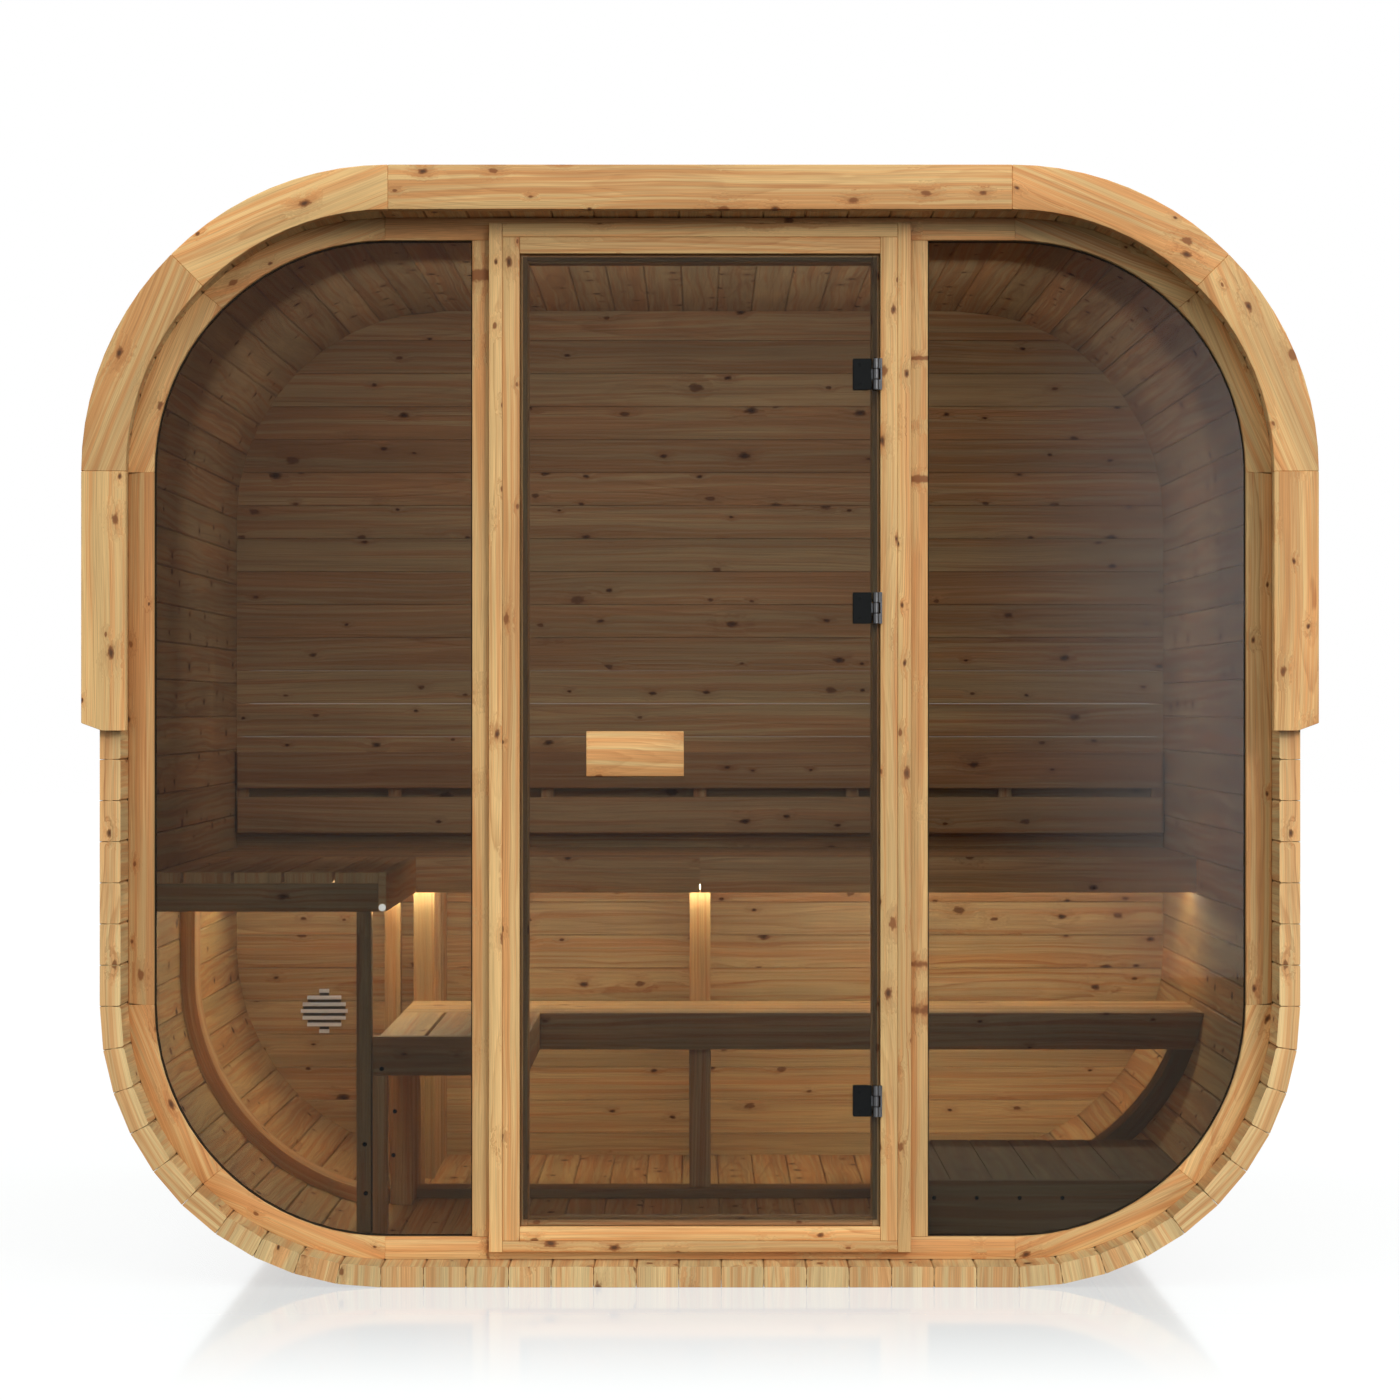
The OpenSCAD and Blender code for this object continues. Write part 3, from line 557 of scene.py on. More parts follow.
def screw_head(mesh, centre, out, radius=3.5 * MM):
    """A countersunk screw head with a dished middle, facing along Y."""
    levels = (0, 1.0), (0.5 * MM, 1.0), (0.9 * MM, 0.86), (0.9 * MM, 0.45), (0.1 * MM, 0.3)
    turned(mesh, [(rise, radius * share) for rise, share in levels], 16,
           lambda a, b, rise: centre + Vector((a, out * rise, b)))


def eased_profile(width, thick, ease):
    """A rectangle, centred across, with its four corners taken off in two steps."""
    half, small = width / 2, ease * 0.3
    points = []
    for side, level in ((-1, 0), (1, 0), (1, 1), (-1, 1)):
        x, y = side * half, level * thick
        dx, dy = -side, 1 - 2 * level
        corner = [(x, y + dy * ease), (x + dx * small, y + dy * small), (x + dx * ease, y)]
        points += corner if (side < 0) == (level == 0) else corner[::-1]
    return points


def split_profile(profile, at):
    """The same profile with a point added wherever its outline crosses a line across it."""
    points = []
    for one, two in zip(profile, profile[1:] + profile[:1]):
        points.append(one)
        if (one[0] - at) * (two[0] - at) < 0:
            share = (at - one[0]) / (two[0] - one[0])
            points.append((at, one[1] + (two[1] - one[1]) * share))
    return points


def round_the_tube(place):
    """How far a place is up the tube's side, measured along the outline."""
    down = CORNER_Z0 - place.z
    if down <= 0:
        return place.z
    return CORNER_Z0 - math.atan2(down, abs(place.x) - CORNER_X) * (CORNER_IN_R + STAVE_T / 2)


def inner_half(z):
    """Half the width inside the tube at a height, less a fitting gap."""
    off = max(z - CORNER_Z1, CORNER_Z0 - z, 0)
    return CORNER_X + math.sqrt(max((CORNER_IN_R - SEAT) ** 2 - off * off, 0))


def floor_at(x):
    """Height of the inside of the tube under a place."""
    off = abs(x) - CORNER_X
    return CORNER_Z0 - math.sqrt(CORNER_IN_R ** 2 - off * off) if off > 0 else FLOOR_Z


# ---- tube and roof ----


def strip(boards, a, b, out_a, out_b, end_grain, thick, groove_in, groove_out, tongue, jitter=0.0):
    """One stave or roof board between two joints. a and b are (x, z) places of its inner edges."""
    slit = 0.4 * MM
    side = [(slit, 0), (slit, thick - groove_out), (groove_out, thick)]
    if tongue:
        side[:1] = [(groove_in, 0), (slit, groove_in), (slit, 0.38 * thick), (0, 0.38 * thick), (0, 0.62 * thick),
                    (slit, 0.62 * thick)]
    points = [("a", inset, t) for inset, t in side] + [("b", inset, t) for inset, t in side[::-1]]
    y0 = TUBE_Y0 + boards.random.uniform(0, jitter)
    y1 = TUBE_Y1 - boards.random.uniform(0, jitter)
    ease, shrunk = 0.8 * MM, 0.02
    sections = []
    for y, shrink in ((y0, shrunk), (y0 + ease, 0), (y1 - ease, 0), (y1, shrunk)):
        section = []
        for end, inset, t in points:
            pa, pb = a + out_a * t, b + out_b * t
            width = (pb - pa).length
            share = inset / width if end == "a" else 1 - inset / width
            share += (0.5 - share) * shrink
            p = pa + (pb - pa) * share
            section.append((Vector((p.x, y, p.y)), (y, (share - 0.5) * width, t)))
        sections.append(section)
    boards.board(sections, end_grain=end_grain)


def straight_strips(boards, a, b, out, count, end_grain="through", **shape):
    """A flat run of staves or roof boards."""
    a, b, out = Vector(a), Vector(b), Vector(out)
    for i in range(count):
        strip(boards, a.lerp(b, i / count), a.lerp(b, (i + 1) / count), out, out, end_grain, **shape)


def corner_strips(boards, side_x, side_z, radius, count, **shape):
    """The staves or roof boards round one corner."""
    centre = Vector((side_x * CORNER_X, CORNER_Z1 if side_z > 0 else CORNER_Z0))
    turns = [math.pi / 2 * i / count for i in range(count + 1)]
    outs = [Vector((side_x * math.cos(t), side_z * math.sin(t))) for t in turns]
    for turn, one, two in zip(turns, outs, outs[1:]):
        upright = side_z < 0 and turn < math.radians(50)
        strip(boards, centre + one * radius, centre + two * radius, one, two, "up" if upright else "through", **shape)


class SAUNA_OT_staves(bpy.types.Operator):
    """Builds the tube of tongued and grooved staves"""

    bl_idname = "sauna.staves"
    bl_label = "Staves"

    def execute(self, context):
        sizes = context.scene.sauna_boards
        shape = {"thick": STAVE_T, "groove_in": sizes.groove, "groove_out": sizes.groove * 0.35, "tongue": True,
                 "jitter": 0.4 * MM}
        for name, z, out in (("floor_staves", FLOOR_Z, -1), ("ceiling_staves", CEILING_Z, 1)):
            boards = Boards(name)
            straight_strips(boards, (-CORNER_X, z), (CORNER_X, z), (0, out), sizes.floor_count, **shape)
            boards.done(name + "_set", "Stave", name)
        for side, x in SIDES:
            name = side + "_wall_staves"
            boards = Boards(name)
            straight_strips(boards, (x * IN_W, CORNER_Z0), (x * IN_W, CORNER_Z1), (x, 0), sizes.wall_count, "up",
                            **shape)
            boards.done(name + "_set", "Stave", name)
        for level, z in (("lower", -1), ("upper", 1)):
            for side, x in SIDES:
                name = f"{level}_{side}_corner"
                boards = Boards(name)
                corner_strips(boards, x, z, CORNER_IN_R, sizes.corner_count, **shape)
                boards.done(name + "_staves", "Stave", name)
        return {"FINISHED"}


class SAUNA_OT_roof(bpy.types.Operator):
    """Lays the roof boards over the upper half of the tube"""

    bl_idname = "sauna.roof"
    bl_label = "Roof boards"

    def execute(self, context):
        sizes = context.scene.sauna_boards
        shape = {"thick": ROOF_T, "groove_in": 0, "groove_out": sizes.groove * 1.3, "tongue": False}
        z = BOX["roof_top"][0].z
        boards = Boards("roof top")
        straight_strips(boards, (-CORNER_X, z), (CORNER_X, z), (0, 1), sizes.floor_count, **shape)
        boards.done("roof_top_boards", "Roof", "roof_top")
        radius = CORNER_IN_R + STAVE_T + SEAT
        edge = CORNER_X + radius
        shape["thick"] = ROOF_T - SEAT
        count = round((CORNER_Z1 - ROOF_EDGE_Z) / (2 * CORNER_X / sizes.floor_count))
        for side, x in SIDES:
            boards = Boards("roof_" + side)
            straight_strips(boards, (x * edge, ROOF_EDGE_Z), (x * edge, CORNER_Z1), (x, 0), count, **shape)
            corner_strips(boards, x, 1, radius, sizes.corner_count, **shape)
            boards.done(f"roof_{side}_boards", "Roof", "roof_" + side)
        return {"FINISHED"}


class SAUNA_OT_back_wall(bpy.types.Operator):
    """Builds the back wall of horizontal boards, scribed to the tube"""

    bl_idname = "sauna.back_wall"
    bl_label = "Back wall"

    def execute(self, context):
        sizes = context.scene.sauna_boards
        g, pitch = sizes.groove * 0.45, sizes.back_pitch
        low, high = BOX["back_wall"]
        boards = Boards("back wall")
        bottom = low.z - 26 * MM
        while bottom < high.z - 10 * MM:
            z0, z1 = max(bottom, low.z), min(bottom + pitch, high.z)
            steps = 6 if z0 < CORNER_Z0 or z1 > CORNER_Z1 else 1
            sections = []
            for y, inset in ((low.y, g), (low.y + g, SEAT), (high.y - g, SEAT), (high.y, g)):
                a = z0 + (inset if z0 > low.z else 0)
                b = z1 - (inset if z1 < high.z else 0)
                levels = [a + (b - a) * i / steps for i in range(steps + 1)]
                outline = [(inner_half(z), z) for z in levels] + [(-inner_half(z), z) for z in levels[::-1]]
                sections.append([(Vector((x, y, z)), (x, z - (z0 + z1) / 2, y - low.y)) for x, z in outline])
            boards.board(sections, end_grain="face")
            bottom += pitch
        boards.done("back_wall_boards", "Stave", "back_wall")
        return {"FINISHED"}


# ---- fascias and glazing frame ----


def arch(boards, inner, outer, a0, a1, y0, y1, ease, steps=10):
    """A board sawn to a curve. inner and outer give (x, z) at an angle; the grain runs straight along it."""
    middle = (a0 + a1) / 2
    chord = (outer(a1) - outer(a0)).normalized()
    rise = Vector((-chord.y, chord.x))
    origin = (inner(middle) + outer(middle)) / 2
    nick = ease / (outer(a0) - origin).length * 0.25
    turns = [a0, a0 + (a1 - a0) * nick] + [a0 + (a1 - a0) * i / steps for i in range(1, steps)]
    turns += [a1 - (a1 - a0) * nick, a1]
    sections = []
    for turn in turns:
        pin, pout = inner(turn), outer(turn)
        width = (pout - pin).length
        inset = ease * 0.5 if turn in (a0, a1) else 0
        section = []
        for a, t in eased_profile(width - 2 * inset, y1 - y0 - 2 * inset, ease):
            p = pin.lerp(pout, 0.5 + a / width)
            flat = p - origin
            section.append((Vector((p.x, y0 + inset + t, p.y)), (flat.dot(chord), flat.dot(rise), t)))
        sections.append(section)
    boards.board(sections)


def circle_at(x, z, radius, side):
    """A function from an angle to a place on a circle, mirrored on the left side."""
    return lambda turn: Vector((side * (x + radius * math.cos(turn)), z + radius * math.sin(turn)))


class SAUNA_OT_fascias(bpy.types.Operator):
    """Builds the front and back fascias: a straight top board, mitred arches and chamfered legs"""

    bl_idname = "sauna.fascias"
    bl_label = "Fascias"

    def execute(self, context):
        ease, eighth = 2.5 * MM, math.pi / 4
        for end in ("front", "back"):
            low, high = BOX[end + "_fascia_top"]
            width = high.z - low.z
            boards = Boards(end + " fascia")
            boards.block((-high.x, low.y, low.z), high, "X", ease, 0.1)
            boards.done(end + "_fascia_top_board", "Frame", end + "_fascia_top")
            leg = BOX[end + "_fascia_right"]
            radius = leg[1].x - high.x
            centre_z = high.z - radius
            corner = CHAMFER_W - width / 2
            for side, x in SIDES:
                boards = Boards(end + side)
                inner, outer = (circle_at(high.x, centre_z, r, x) for r in (radius - width, radius))
                for turn in (eighth, 0):
                    arch(boards, inner, outer, turn, turn + eighth, low.y, high.y, ease)
                profile = split_profile(eased_profile(width, high.y - low.y, ease), x * -corner)
                middle = x * (leg[1].x - width / 2)
                boards.sweep(profile, Vector((middle, low.y, leg[0].z)), Vector((middle, low.y, centre_z)), X, Y,
                             cuts=(lambda a, t: max(0.0, x * a + corner) * CHAMFER_H / CHAMFER_W, None))
                boards.done(f"{end}_fascia_{side}_boards", "Frame", f"{end}_fascia_{side}")
        return {"FINISHED"}


class SAUNA_OT_glazing_frame(bpy.types.Operator):
    """Builds the frame round the windows, the posts beside the door and the seals of the panes"""

    bl_idname = "sauna.glazing_frame"
    bl_label = "Window frames"

    def execute(self, context):
        low, high = BOX["glazing_frame_right"]
        z0, z1 = (corner.z for corner in BOX["window_post_right"])
        open_x = BOX["window_glass_right"][1].x - GROOVE_DEPTH
        radius = open_x - CORNER_X + 1 * MM
        for name, seed, a, b in (("bottom", "rails", BOX["glazing_rail_bottom"][0].z, z0),
                                 ("top", "rail top", z1, BOX["glazing_rail_top"][1].z)):
            boards = Boards(seed)
            boards.block((-CORNER_X, low.y, a), (CORNER_X, high.y, b), "X", EASE)
            boards.done(f"glazing_rail_{name}_board", "Frame", "glazing_rail_" + name)
        for side, x in SIDES:
            boards = Boards("glazing " + side)
            for centre_z, in_z, half in ((CORNER_Z0, z0 + radius, -math.pi / 4),
                                         (CORNER_Z1, z1 - radius, math.pi / 4)):
                outer = circle_at(CORNER_X, centre_z, high.x - CORNER_X, x)
                inner = circle_at(open_x - radius, in_z, radius, x)
                for a0, a1 in ((0, half), (half, 2 * half)):
                    arch(boards, inner, outer, a0, a1, low.y, high.y, EASE)
            x0, x1 = sorted((x * open_x, x * high.x))
            boards.block((x0, low.y, z0 + radius), (x1, high.y, z1 - radius), "Z", EASE)
            boards.done(f"glazing_frame_{side}_boards", "Frame", "glazing_frame_" + side)
            post = "window_post_" + side
            one_board(post + "_board", "Frame", post, "Z", "post " + side, EASE)
            self.seals(side, x, open_x, z0, z1, radius)
        return {"FINISHED"}

    def seals(self, side, x, open_x, z0, z1, radius):
        """A thin dark strip of rubber round one pane, against its outer and inner face."""
        steps = 14
        path = [Vector((BOX["window_post_right"][1].x, z0)), Vector((open_x - radius, z0))]
        corner = circle_at(open_x - radius, z0 + radius, radius, 1)
        path += [corner(-math.pi / 2 + math.pi / 2 * i / steps) for i in range(1, steps)]
        path.append(Vector((open_x, z0 + radius)))
        path += [Vector((p.x, z0 + z1 - p.y)) for p in path[::-1]]
        pane = BOX["window_glass_" + side]
        mesh = bmesh.new()
        for y, rise in ((pane[0].y, -2 * MM), (pane[1].y, 2 * MM)):
            self.ring(mesh, path, x, y, rise, 2.4 * MM)
        make_piece(mesh, f"window_{side}_seals", "Rubber seal", "black_metal")

    def ring(self, mesh, path, side, y, rise, width):
        """A closed strip along a path in X and Z, lying on a pane at y and reaching inwards by its width."""
        lip = 0.5 * MM
        rings = []
        for before, p, after in zip(path[-1:] + path[:-1], path, path[1:] + path[:1]):
            one, two = (Vector((-d.y, d.x)) for d in ((p - before).normalized(), (after - p).normalized()))
            inward = (one + two).normalized()
            inward = inward / max(inward.dot(one), 0.3)
            section = []
            for across, high in ((-lip, 0), (-lip, rise), (width * 0.6, rise), (width, rise * 0.4), (width, 0)):
                q = p + inward * across
                section.append(mesh.verts.new((side * q.x, y + high, q.y)))
            rings.append(section)
        skin(mesh, rings, closed=True)


# ---- door ----


class SAUNA_OT_door_frame(bpy.types.Operator):
    """Builds the door frame: inner boards, outer trim and the strips that the door closes against"""

    bl_idname = "sauna.door_frame"
    bl_label = "Door frame"

    def execute(self, context):
        ease, rebate, wide = 2.2 * MM, 16 * MM, 13 * MM
        y0, y1 = (corner.y for corner in BOX["door_jamb_right"])
        y_wall, outer_x = BOX["window_post_right"][0].y, BOX["window_post_right"][0].x
        door_x, trim_x = BOX["door_glass"][1].x + DOOR_GAP, BOX["door_head"][1].x
        trim_z = [corner.z for corner in BOX["door_jamb_right"]]
        post_z = [corner.z for corner in BOX["window_post_right"]]
        edge_z = BOX["door_glass"][0].z - 13 * MM, BOX["door_glass"][1].z + DOOR_GAP
        inner_z = trim_z[0] + 21 * MM, trim_z[1] - 26 * MM
        for side, sign in SIDES:
            boards = Boards("jamb " + side)
            for x0, x1, a, b, z in ((door_x, trim_x, y0, y_wall, inner_z), (trim_x, outer_x, y0, y_wall, trim_z),
                                    (door_x, outer_x, y_wall, y1, post_z),
                                    (door_x - rebate, door_x, y_wall, y1, edge_z)):
                x0, x1 = sorted((sign * x0, sign * x1))
                boards.block((x0, a, z[0]), (x1, b, z[1]), "Z", ease)
            boards.done(f"door_jamb_{side}_boards", "Frame", "door_jamb_" + side)
        for name, i, sign in (("door_head", 1, 1), ("door_sill", 0, -1)):
            boards = Boards(name)
            for x, a, b, z0, z1 in ((door_x, y0, y_wall, edge_z[i], inner_z[i]),
                                    (trim_x, y0, y_wall, inner_z[i], trim_z[i]),
                                    (door_x, y_wall, y1, edge_z[i], post_z[i]),
                                    (door_x - rebate, y_wall, y1, edge_z[i] - sign * rebate, edge_z[i])):
                boards.block((-x, a, min(z0, z1)), (x, b, max(z0, z1)), "X", ease)
            boards.done(name + "_boards", "Frame", name)
        # painted shade: the stop strips are bench wood with a tone below 0, darker than the frame, as they lie in
        # shadow behind the door glass
        boards, outer, (z0, z1) = Boards("stop"), door_x - 1 * MM, edge_z
        for x0, x1, a, b, along in ((-outer, -outer + wide, z0, z1, "Z"), (outer - wide, outer, z0, z1, "Z"),
                                    (-outer + wide, outer - wide, z1 - wide, z1 - 1 * MM, "X"),
                                    (-outer + wide, outer - wide, z0 + 1 * MM, z0 + wide, "X")):
            boards.block((x0, y_wall - 3.5 * MM, a), (x1, y_wall, b), along, 1 * MM, -1.0)
        boards.done("door_frame_stop", "Bench", slot="frame_wood")
        return {"FINISHED"}


class SAUNA_OT_door(bpy.types.Operator):
    """Builds the glass door's handles, hinges and finish"""

    bl_idname = "sauna.door"
    bl_label = "Door"

    def execute(self, context):
        for name in ("door_handle_outer", "door_handle_inner"):
            one_board(name + "_plate", "Frame", name, "X", name, 4 * MM, 0.8, "door")
        axis = Vector(next(joint["pos_m"] for joint in frame["joints"] if joint["name"] == "door_hinge"))
        leaf_low, leaf_high = BOX["door_hinge_leaves"]
        low, high = BOX["door_hinge_clamps"]
        glass_y0, glass_y1 = (corner.y for corner in BOX["door_glass"])
        front, edge = glass_y0 - 5 * MM, axis.x - 8 * MM
        half = HINGE_H / 2
        part = (HINGE_H - 2 * MM) / 3
        plates, moving, fixed, screws = (bmesh.new() for i in range(4))

        def barrel(mesh, z0, z1, radius, sides=20, bore=0.0):
            ease = 0.6 * MM
            levels = [(z0, radius - ease), (z0 + ease, radius), (z1 - ease, radius), (z1, radius - ease)]
            levels += [(z1, bore), (z0, bore)] * (bore > 0)
            turned(mesh, levels, sides, lambda a, b, z: (axis.x + a, axis.y + b, z), bore > 0)

        for z in (leaf_low.z + half, MIDDLE_HINGE_Z, leaf_high.z - half):
            metal_box(plates, (low.x, front, z - half), (edge, glass_y0, z + half), 1.2 * MM)
            metal_box(plates, (low.x, glass_y1, z - half), (edge - 6 * MM, high.y, z + half), 1.2 * MM)
            metal_box(moving, (edge - 1 * MM, front + 1 * MM, z - part / 2),
                      (axis.x - 3.2 * MM, glass_y0 - 1 * MM, z + part / 2), 0.5 * MM)
            barrel(moving, z - part / 2, z + part / 2, BARREL_R, bore=3.05 * MM)
            for z0 in (z - half, z + half - part):
                barrel(fixed, z0, z0 + part, BARREL_R)
                metal_box(fixed, (axis.x + 3 * MM, axis.y - 2 * MM, z0),
                          (leaf_high.x - 1 * MM, axis.y + 2 * MM, z0 + part), 0.4 * MM)
            barrel(fixed, z - half, z + half, 3 * MM, sides=14)
            metal_box(fixed, (leaf_high.x - 3 * MM, axis.y - 2 * MM, z - half),
                      (leaf_high.x, leaf_high.y, z + half), 0.4 * MM)
            for dz in (-18 * MM, 18 * MM):
                for y, out in ((front, -1), (high.y, 1)):
                    screw_head(screws, Vector((low.x + 13 * MM, y, z + dz)), out)
        make_piece(plates, "door_hinge_plates", "Black powder coat", "black_metal", "door_hinge_clamps", body="door")
        make_piece(moving, "door_hinge_knuckles", "Brushed steel", "steel", body="door")
        make_piece(fixed, "door_hinge_frame_leaves", "Brushed steel", "steel", "door_hinge_leaves")
        make_piece(screws, "door_hinge_screws", "Black powder coat", "black_metal", body="door")
        for name in ("door_glass", "window_glass_left", "window_glass_right"):
            slots = frame["nodes"][name].data.materials
            slots.clear()
            slots.append(bpy.data.materials["Bronze glass"])
        return {"FINISHED"}


# ---- benches ----


def slats(context, node, seed, along, across, first=None):
    """A seat of slats side by side."""
    sizes = context.scene.sauna_boards
    boards = Boards(seed)
    boards.row(*BOX[node], along, across, sizes.slat_pitch, sizes.slat_gap, first)
    boards.done(node + "_slats", "Bench", node)


def standing_boards(boards, x0, x1, y0, y1, count, floor, top, inset=0.0, gap=0.0):
    """Upright boards side by side that close the space under a bench."""
    step = (y1 - y0) / count
    for i in range(count):
        boards.block((x0 + inset, y0 + step * i + gap, floor), (x1 - inset, y0 + step * (i + 1), top), "Z", 3 * MM)


class SAUNA_OT_upper_bench(bpy.types.Operator):
    """Builds the slats, boards and supports of the upper bench"""

    bl_idname = "sauna.upper_bench"
    bl_label = "Upper bench"

    def execute(self, context):
        slats(context, "upper_bench_back", "upper back", "X", "Y")
        slats(context, "upper_bench_left", "upper left", "Y", "X", 60 * MM)
        self.front_boards()
        one_board("upper_side_board_wood", "Bench", "upper_side_board", "Y", "upper side")
        # painted shade: the front beam's tone below 0 darkens a front face that lies in the dark behind the glass
        one_board("upper_front_beam_wood", "Bench", "upper_front_beam", "X", "upper beam", tone=-0.9)
        boards = Boards("upper supports")
        low = BOX["upper_bench_supports"][0]
        rear_y, back_y = BOX["lower_bench_back"][1].y, BOX["back_wall"][0].y
        top = BOX["upper_bench_back"][0].z
        for x in (BOX["lower_bench_back"][0].x, -POST_T / 2):
            floor = min(floor_at(x), floor_at(x + POST_T))
            boards.block((x, rear_y, floor), (x + POST_T, rear_y + POST_T, top), "Z")
            count = max(1, round((back_y - rear_y - POST_T) / (95 * MM)))
            standing_boards(boards, x, x + POST_T, rear_y + POST_T, back_y, count, floor, top, 2 * MM, 0.5 * MM)
        front_x = low.x + 20 * MM
        # painted shade: the slim front post's tone below 0 darkens it where it stands in the dark
        boards.block((front_x, low.y, floor_at(front_x)),
                     (front_x + SLIM_T, low.y + POST_T, BOX["upper_front_beam"][0].z), "Z", tone=-1.5)
        boards.block((low.x, rear_y, floor_at(low.x)), (low.x + 34 * MM, rear_y + POST_T, top), "Z")
        boards.done("upper_bench_posts_wood", "Bench", "upper_bench_supports")
        return {"FINISHED"}

    def front_boards(self):
        """The two front boards. Where they meet over the middle post, the joint opens towards their lower edges."""
        low, high = BOX["upper_front_board"]
        middle = (low.z + high.z) / 2
        knee = low.z + 34 * MM - middle
        profile = split_profile(eased_profile(high.z - low.z, high.y - low.y, BENCH_EASE), knee)
        ends = [Vector((x, low.y, middle)) for x in (low.x, 0, high.x)]
        boards = Boards("upper front")
        for one, two, sign in ((ends[0], ends[1], -1), (ends[1], ends[2], 1)):
            def slit(a, t):
                return sign * max(0.0, knee - a) * 0.03

            boards.sweep(profile, one, two, Z, Y, cuts=(slit, None)[::sign], ease=0.2 * MM)
        boards.done("upper_front_boards", "Bench", "upper_front_board")


class SAUNA_OT_lower_bench(bpy.types.Operator):
    """Builds the slats, boards and supports of the lower bench"""

    bl_idname = "sauna.lower_bench"
    bl_label = "Lower bench"

    def execute(self, context):
        sizes = context.scene.sauna_boards
        low, high = BOX["lower_bench_back"]
        boards = Boards("lower back")
        y, base = low.y, inner_half(low.z)
        slope = (inner_half(high.z) - base) / (high.z - low.z)
        while y < high.y - 20 * MM:
            y2 = min(y + sizes.slat_pitch - sizes.slat_gap, high.y)
            profile = eased_profile(y2 - y, high.z - low.z, EASE)
            boards.sweep(profile, Vector((low.x, (y + y2) / 2, low.z)), Vector((base, (y + y2) / 2, low.z)), Y, Z,
                         cuts=(None, lambda a, t: t * slope))
            y = y2 + sizes.slat_gap
        boards.done("lower_bench_back_slats", "Bench", "lower_bench_back")
        slats(context, "lower_bench_left", "lower left", "Y", "X", 93 * MM)

        low, high = BOX["lower_front_board"]
        boards = Boards("lower front")
        tall, base = high.z - low.z, inner_half(low.z)
        slope = (inner_half(high.z) - base) / tall
        # painted shade: the lower front board's tone below 0 darkens a front face that lies in the dark
        boards.sweep(eased_profile(tall, high.y - low.y, BENCH_EASE), Vector((low.x, low.y, low.z + tall / 2)),
                     Vector((base, low.y, low.z + tall / 2)), Z, Y, cuts=(None, lambda a, t: (a + tall / 2) * slope),
                     tone=-0.6)
        boards.done("lower_front_board_wood", "Bench", "lower_front_board")

        start_y = low.y - 128 * MM
        low, high = BOX["lower_left_boards"]
        boards = Boards("lower left boards")
        # painted shade: the front board's tone below 0 darkens it where it lies in the dark
        boards.block(low, (high.x, low.y + BOARD_T, high.z), "X", tone=-1.1)
        boards.block((high.x - BOARD_T, low.y + BOARD_T + SEAT, low.z), high, "Y")
        boards.done("lower_left_boards_wood", "Bench", "lower_left_boards")

        panel_x, rear_y = BOX["lower_bench_supports"][0].x, BOX["lower_bench_supports"][1].y
        seat = BOX["lower_bench_back"][0]
        boards = Boards("lower supports")
        boards.block((low.x, low.y, floor_at(low.x)), (low.x + SLIM_T, low.y + POST_T, low.z), "Z")
        boards.block((-POST_T / 2, seat.y, FLOOR_Z + BATTEN_H), (POST_T / 2, seat.y + POST_T, seat.z), "Z")
        standing_boards(boards, panel_x, panel_x + POST_T, start_y, rear_y, 4, floor_at(panel_x), seat.z)
        boards.done("lower_bench_posts_wood", "Bench", "lower_bench_supports")
        screws = bmesh.new()
        for x, y, z in ((-617, low.y, 362), (-650, low.y, 216), (-648, low.y, 121),
                        (-627, start_y, 233), (-630, start_y, 143)):
            screw_head(screws, Vector((x * MM, y, z * MM)), -1, 4.5 * MM)
        make_piece(screws, "bench_post_screws", "Black powder coat", "black_metal")
        return {"FINISHED"}


def bent(boards, side, thick, y0, y1, stop_x, top, tone):
    """A board bent to a lower corner, from a level cut at the top to an upright cut at stop_x from the middle."""
    outer = CORNER_IN_R - SEAT
    first = math.asin(max(0.0, (CORNER_Z0 - top) / outer))
    last = math.acos((stop_x - CORNER_X) / outer)
    turns = [first + (last - first) * i / 24 for i in range(25)]
    curve = circle_at(CORNER_X, CORNER_Z0, outer, side)
    places = [(curve(-turn), turn) for turn in turns]
    if top > CORNER_Z0:
        places.insert(0, (Vector((side * (CORNER_X + outer), top)), 0.0))
    profile = eased_profile(y1 - y0, thick, EASE)
    sections, along, before = [], 0.0, places[0][0]
    for place, turn in places:
        along += (place - before).length
        before = place
        section = []
        for a, t in profile:
            p = place + Vector((-side * math.cos(turn), math.sin(turn))) * t
            radius = outer - t
            if abs(p.x) < stop_x:
                p = Vector((side * stop_x, CORNER_Z0 - math.sqrt(radius ** 2 - (stop_x - CORNER_X) ** 2)))
            if p.y > top:
                p = Vector((side * (CORNER_X + math.sqrt(radius ** 2 - (CORNER_Z0 - top) ** 2)), top))
            section.append((Vector((p.x, (y0 + y1) / 2 + a, p.y)), (along, a, t)))
        sections.append(section)
    boards.board(sections, tone)


def cut_to_curve(boards, x0, y0, y1, z0, z1, along="X", tone=None):
    """A board from x0 to the staves of the right wall, sawn to their curve."""
    steps = 8
    levels = [z0 + (z1 - z0) * (i / steps) ** 2 for i in range(steps + 1)]
    outline = [(inner_half(z) - SEAT, z) for z in levels] + [(x0, z1), (x0, z0)]
    sections = []
    for y in (y0, y1):
        grains = [(x, z - (z0 + z1) / 2, y - y0) if along == "X" else (y, x - x0, z - z0) for x, z in outline]
        sections.append([(Vector((x, y, z)), grain) for (x, z), grain in zip(outline, grains)])
    boards.board(sections, tone, "face" if along == "X" else "through")


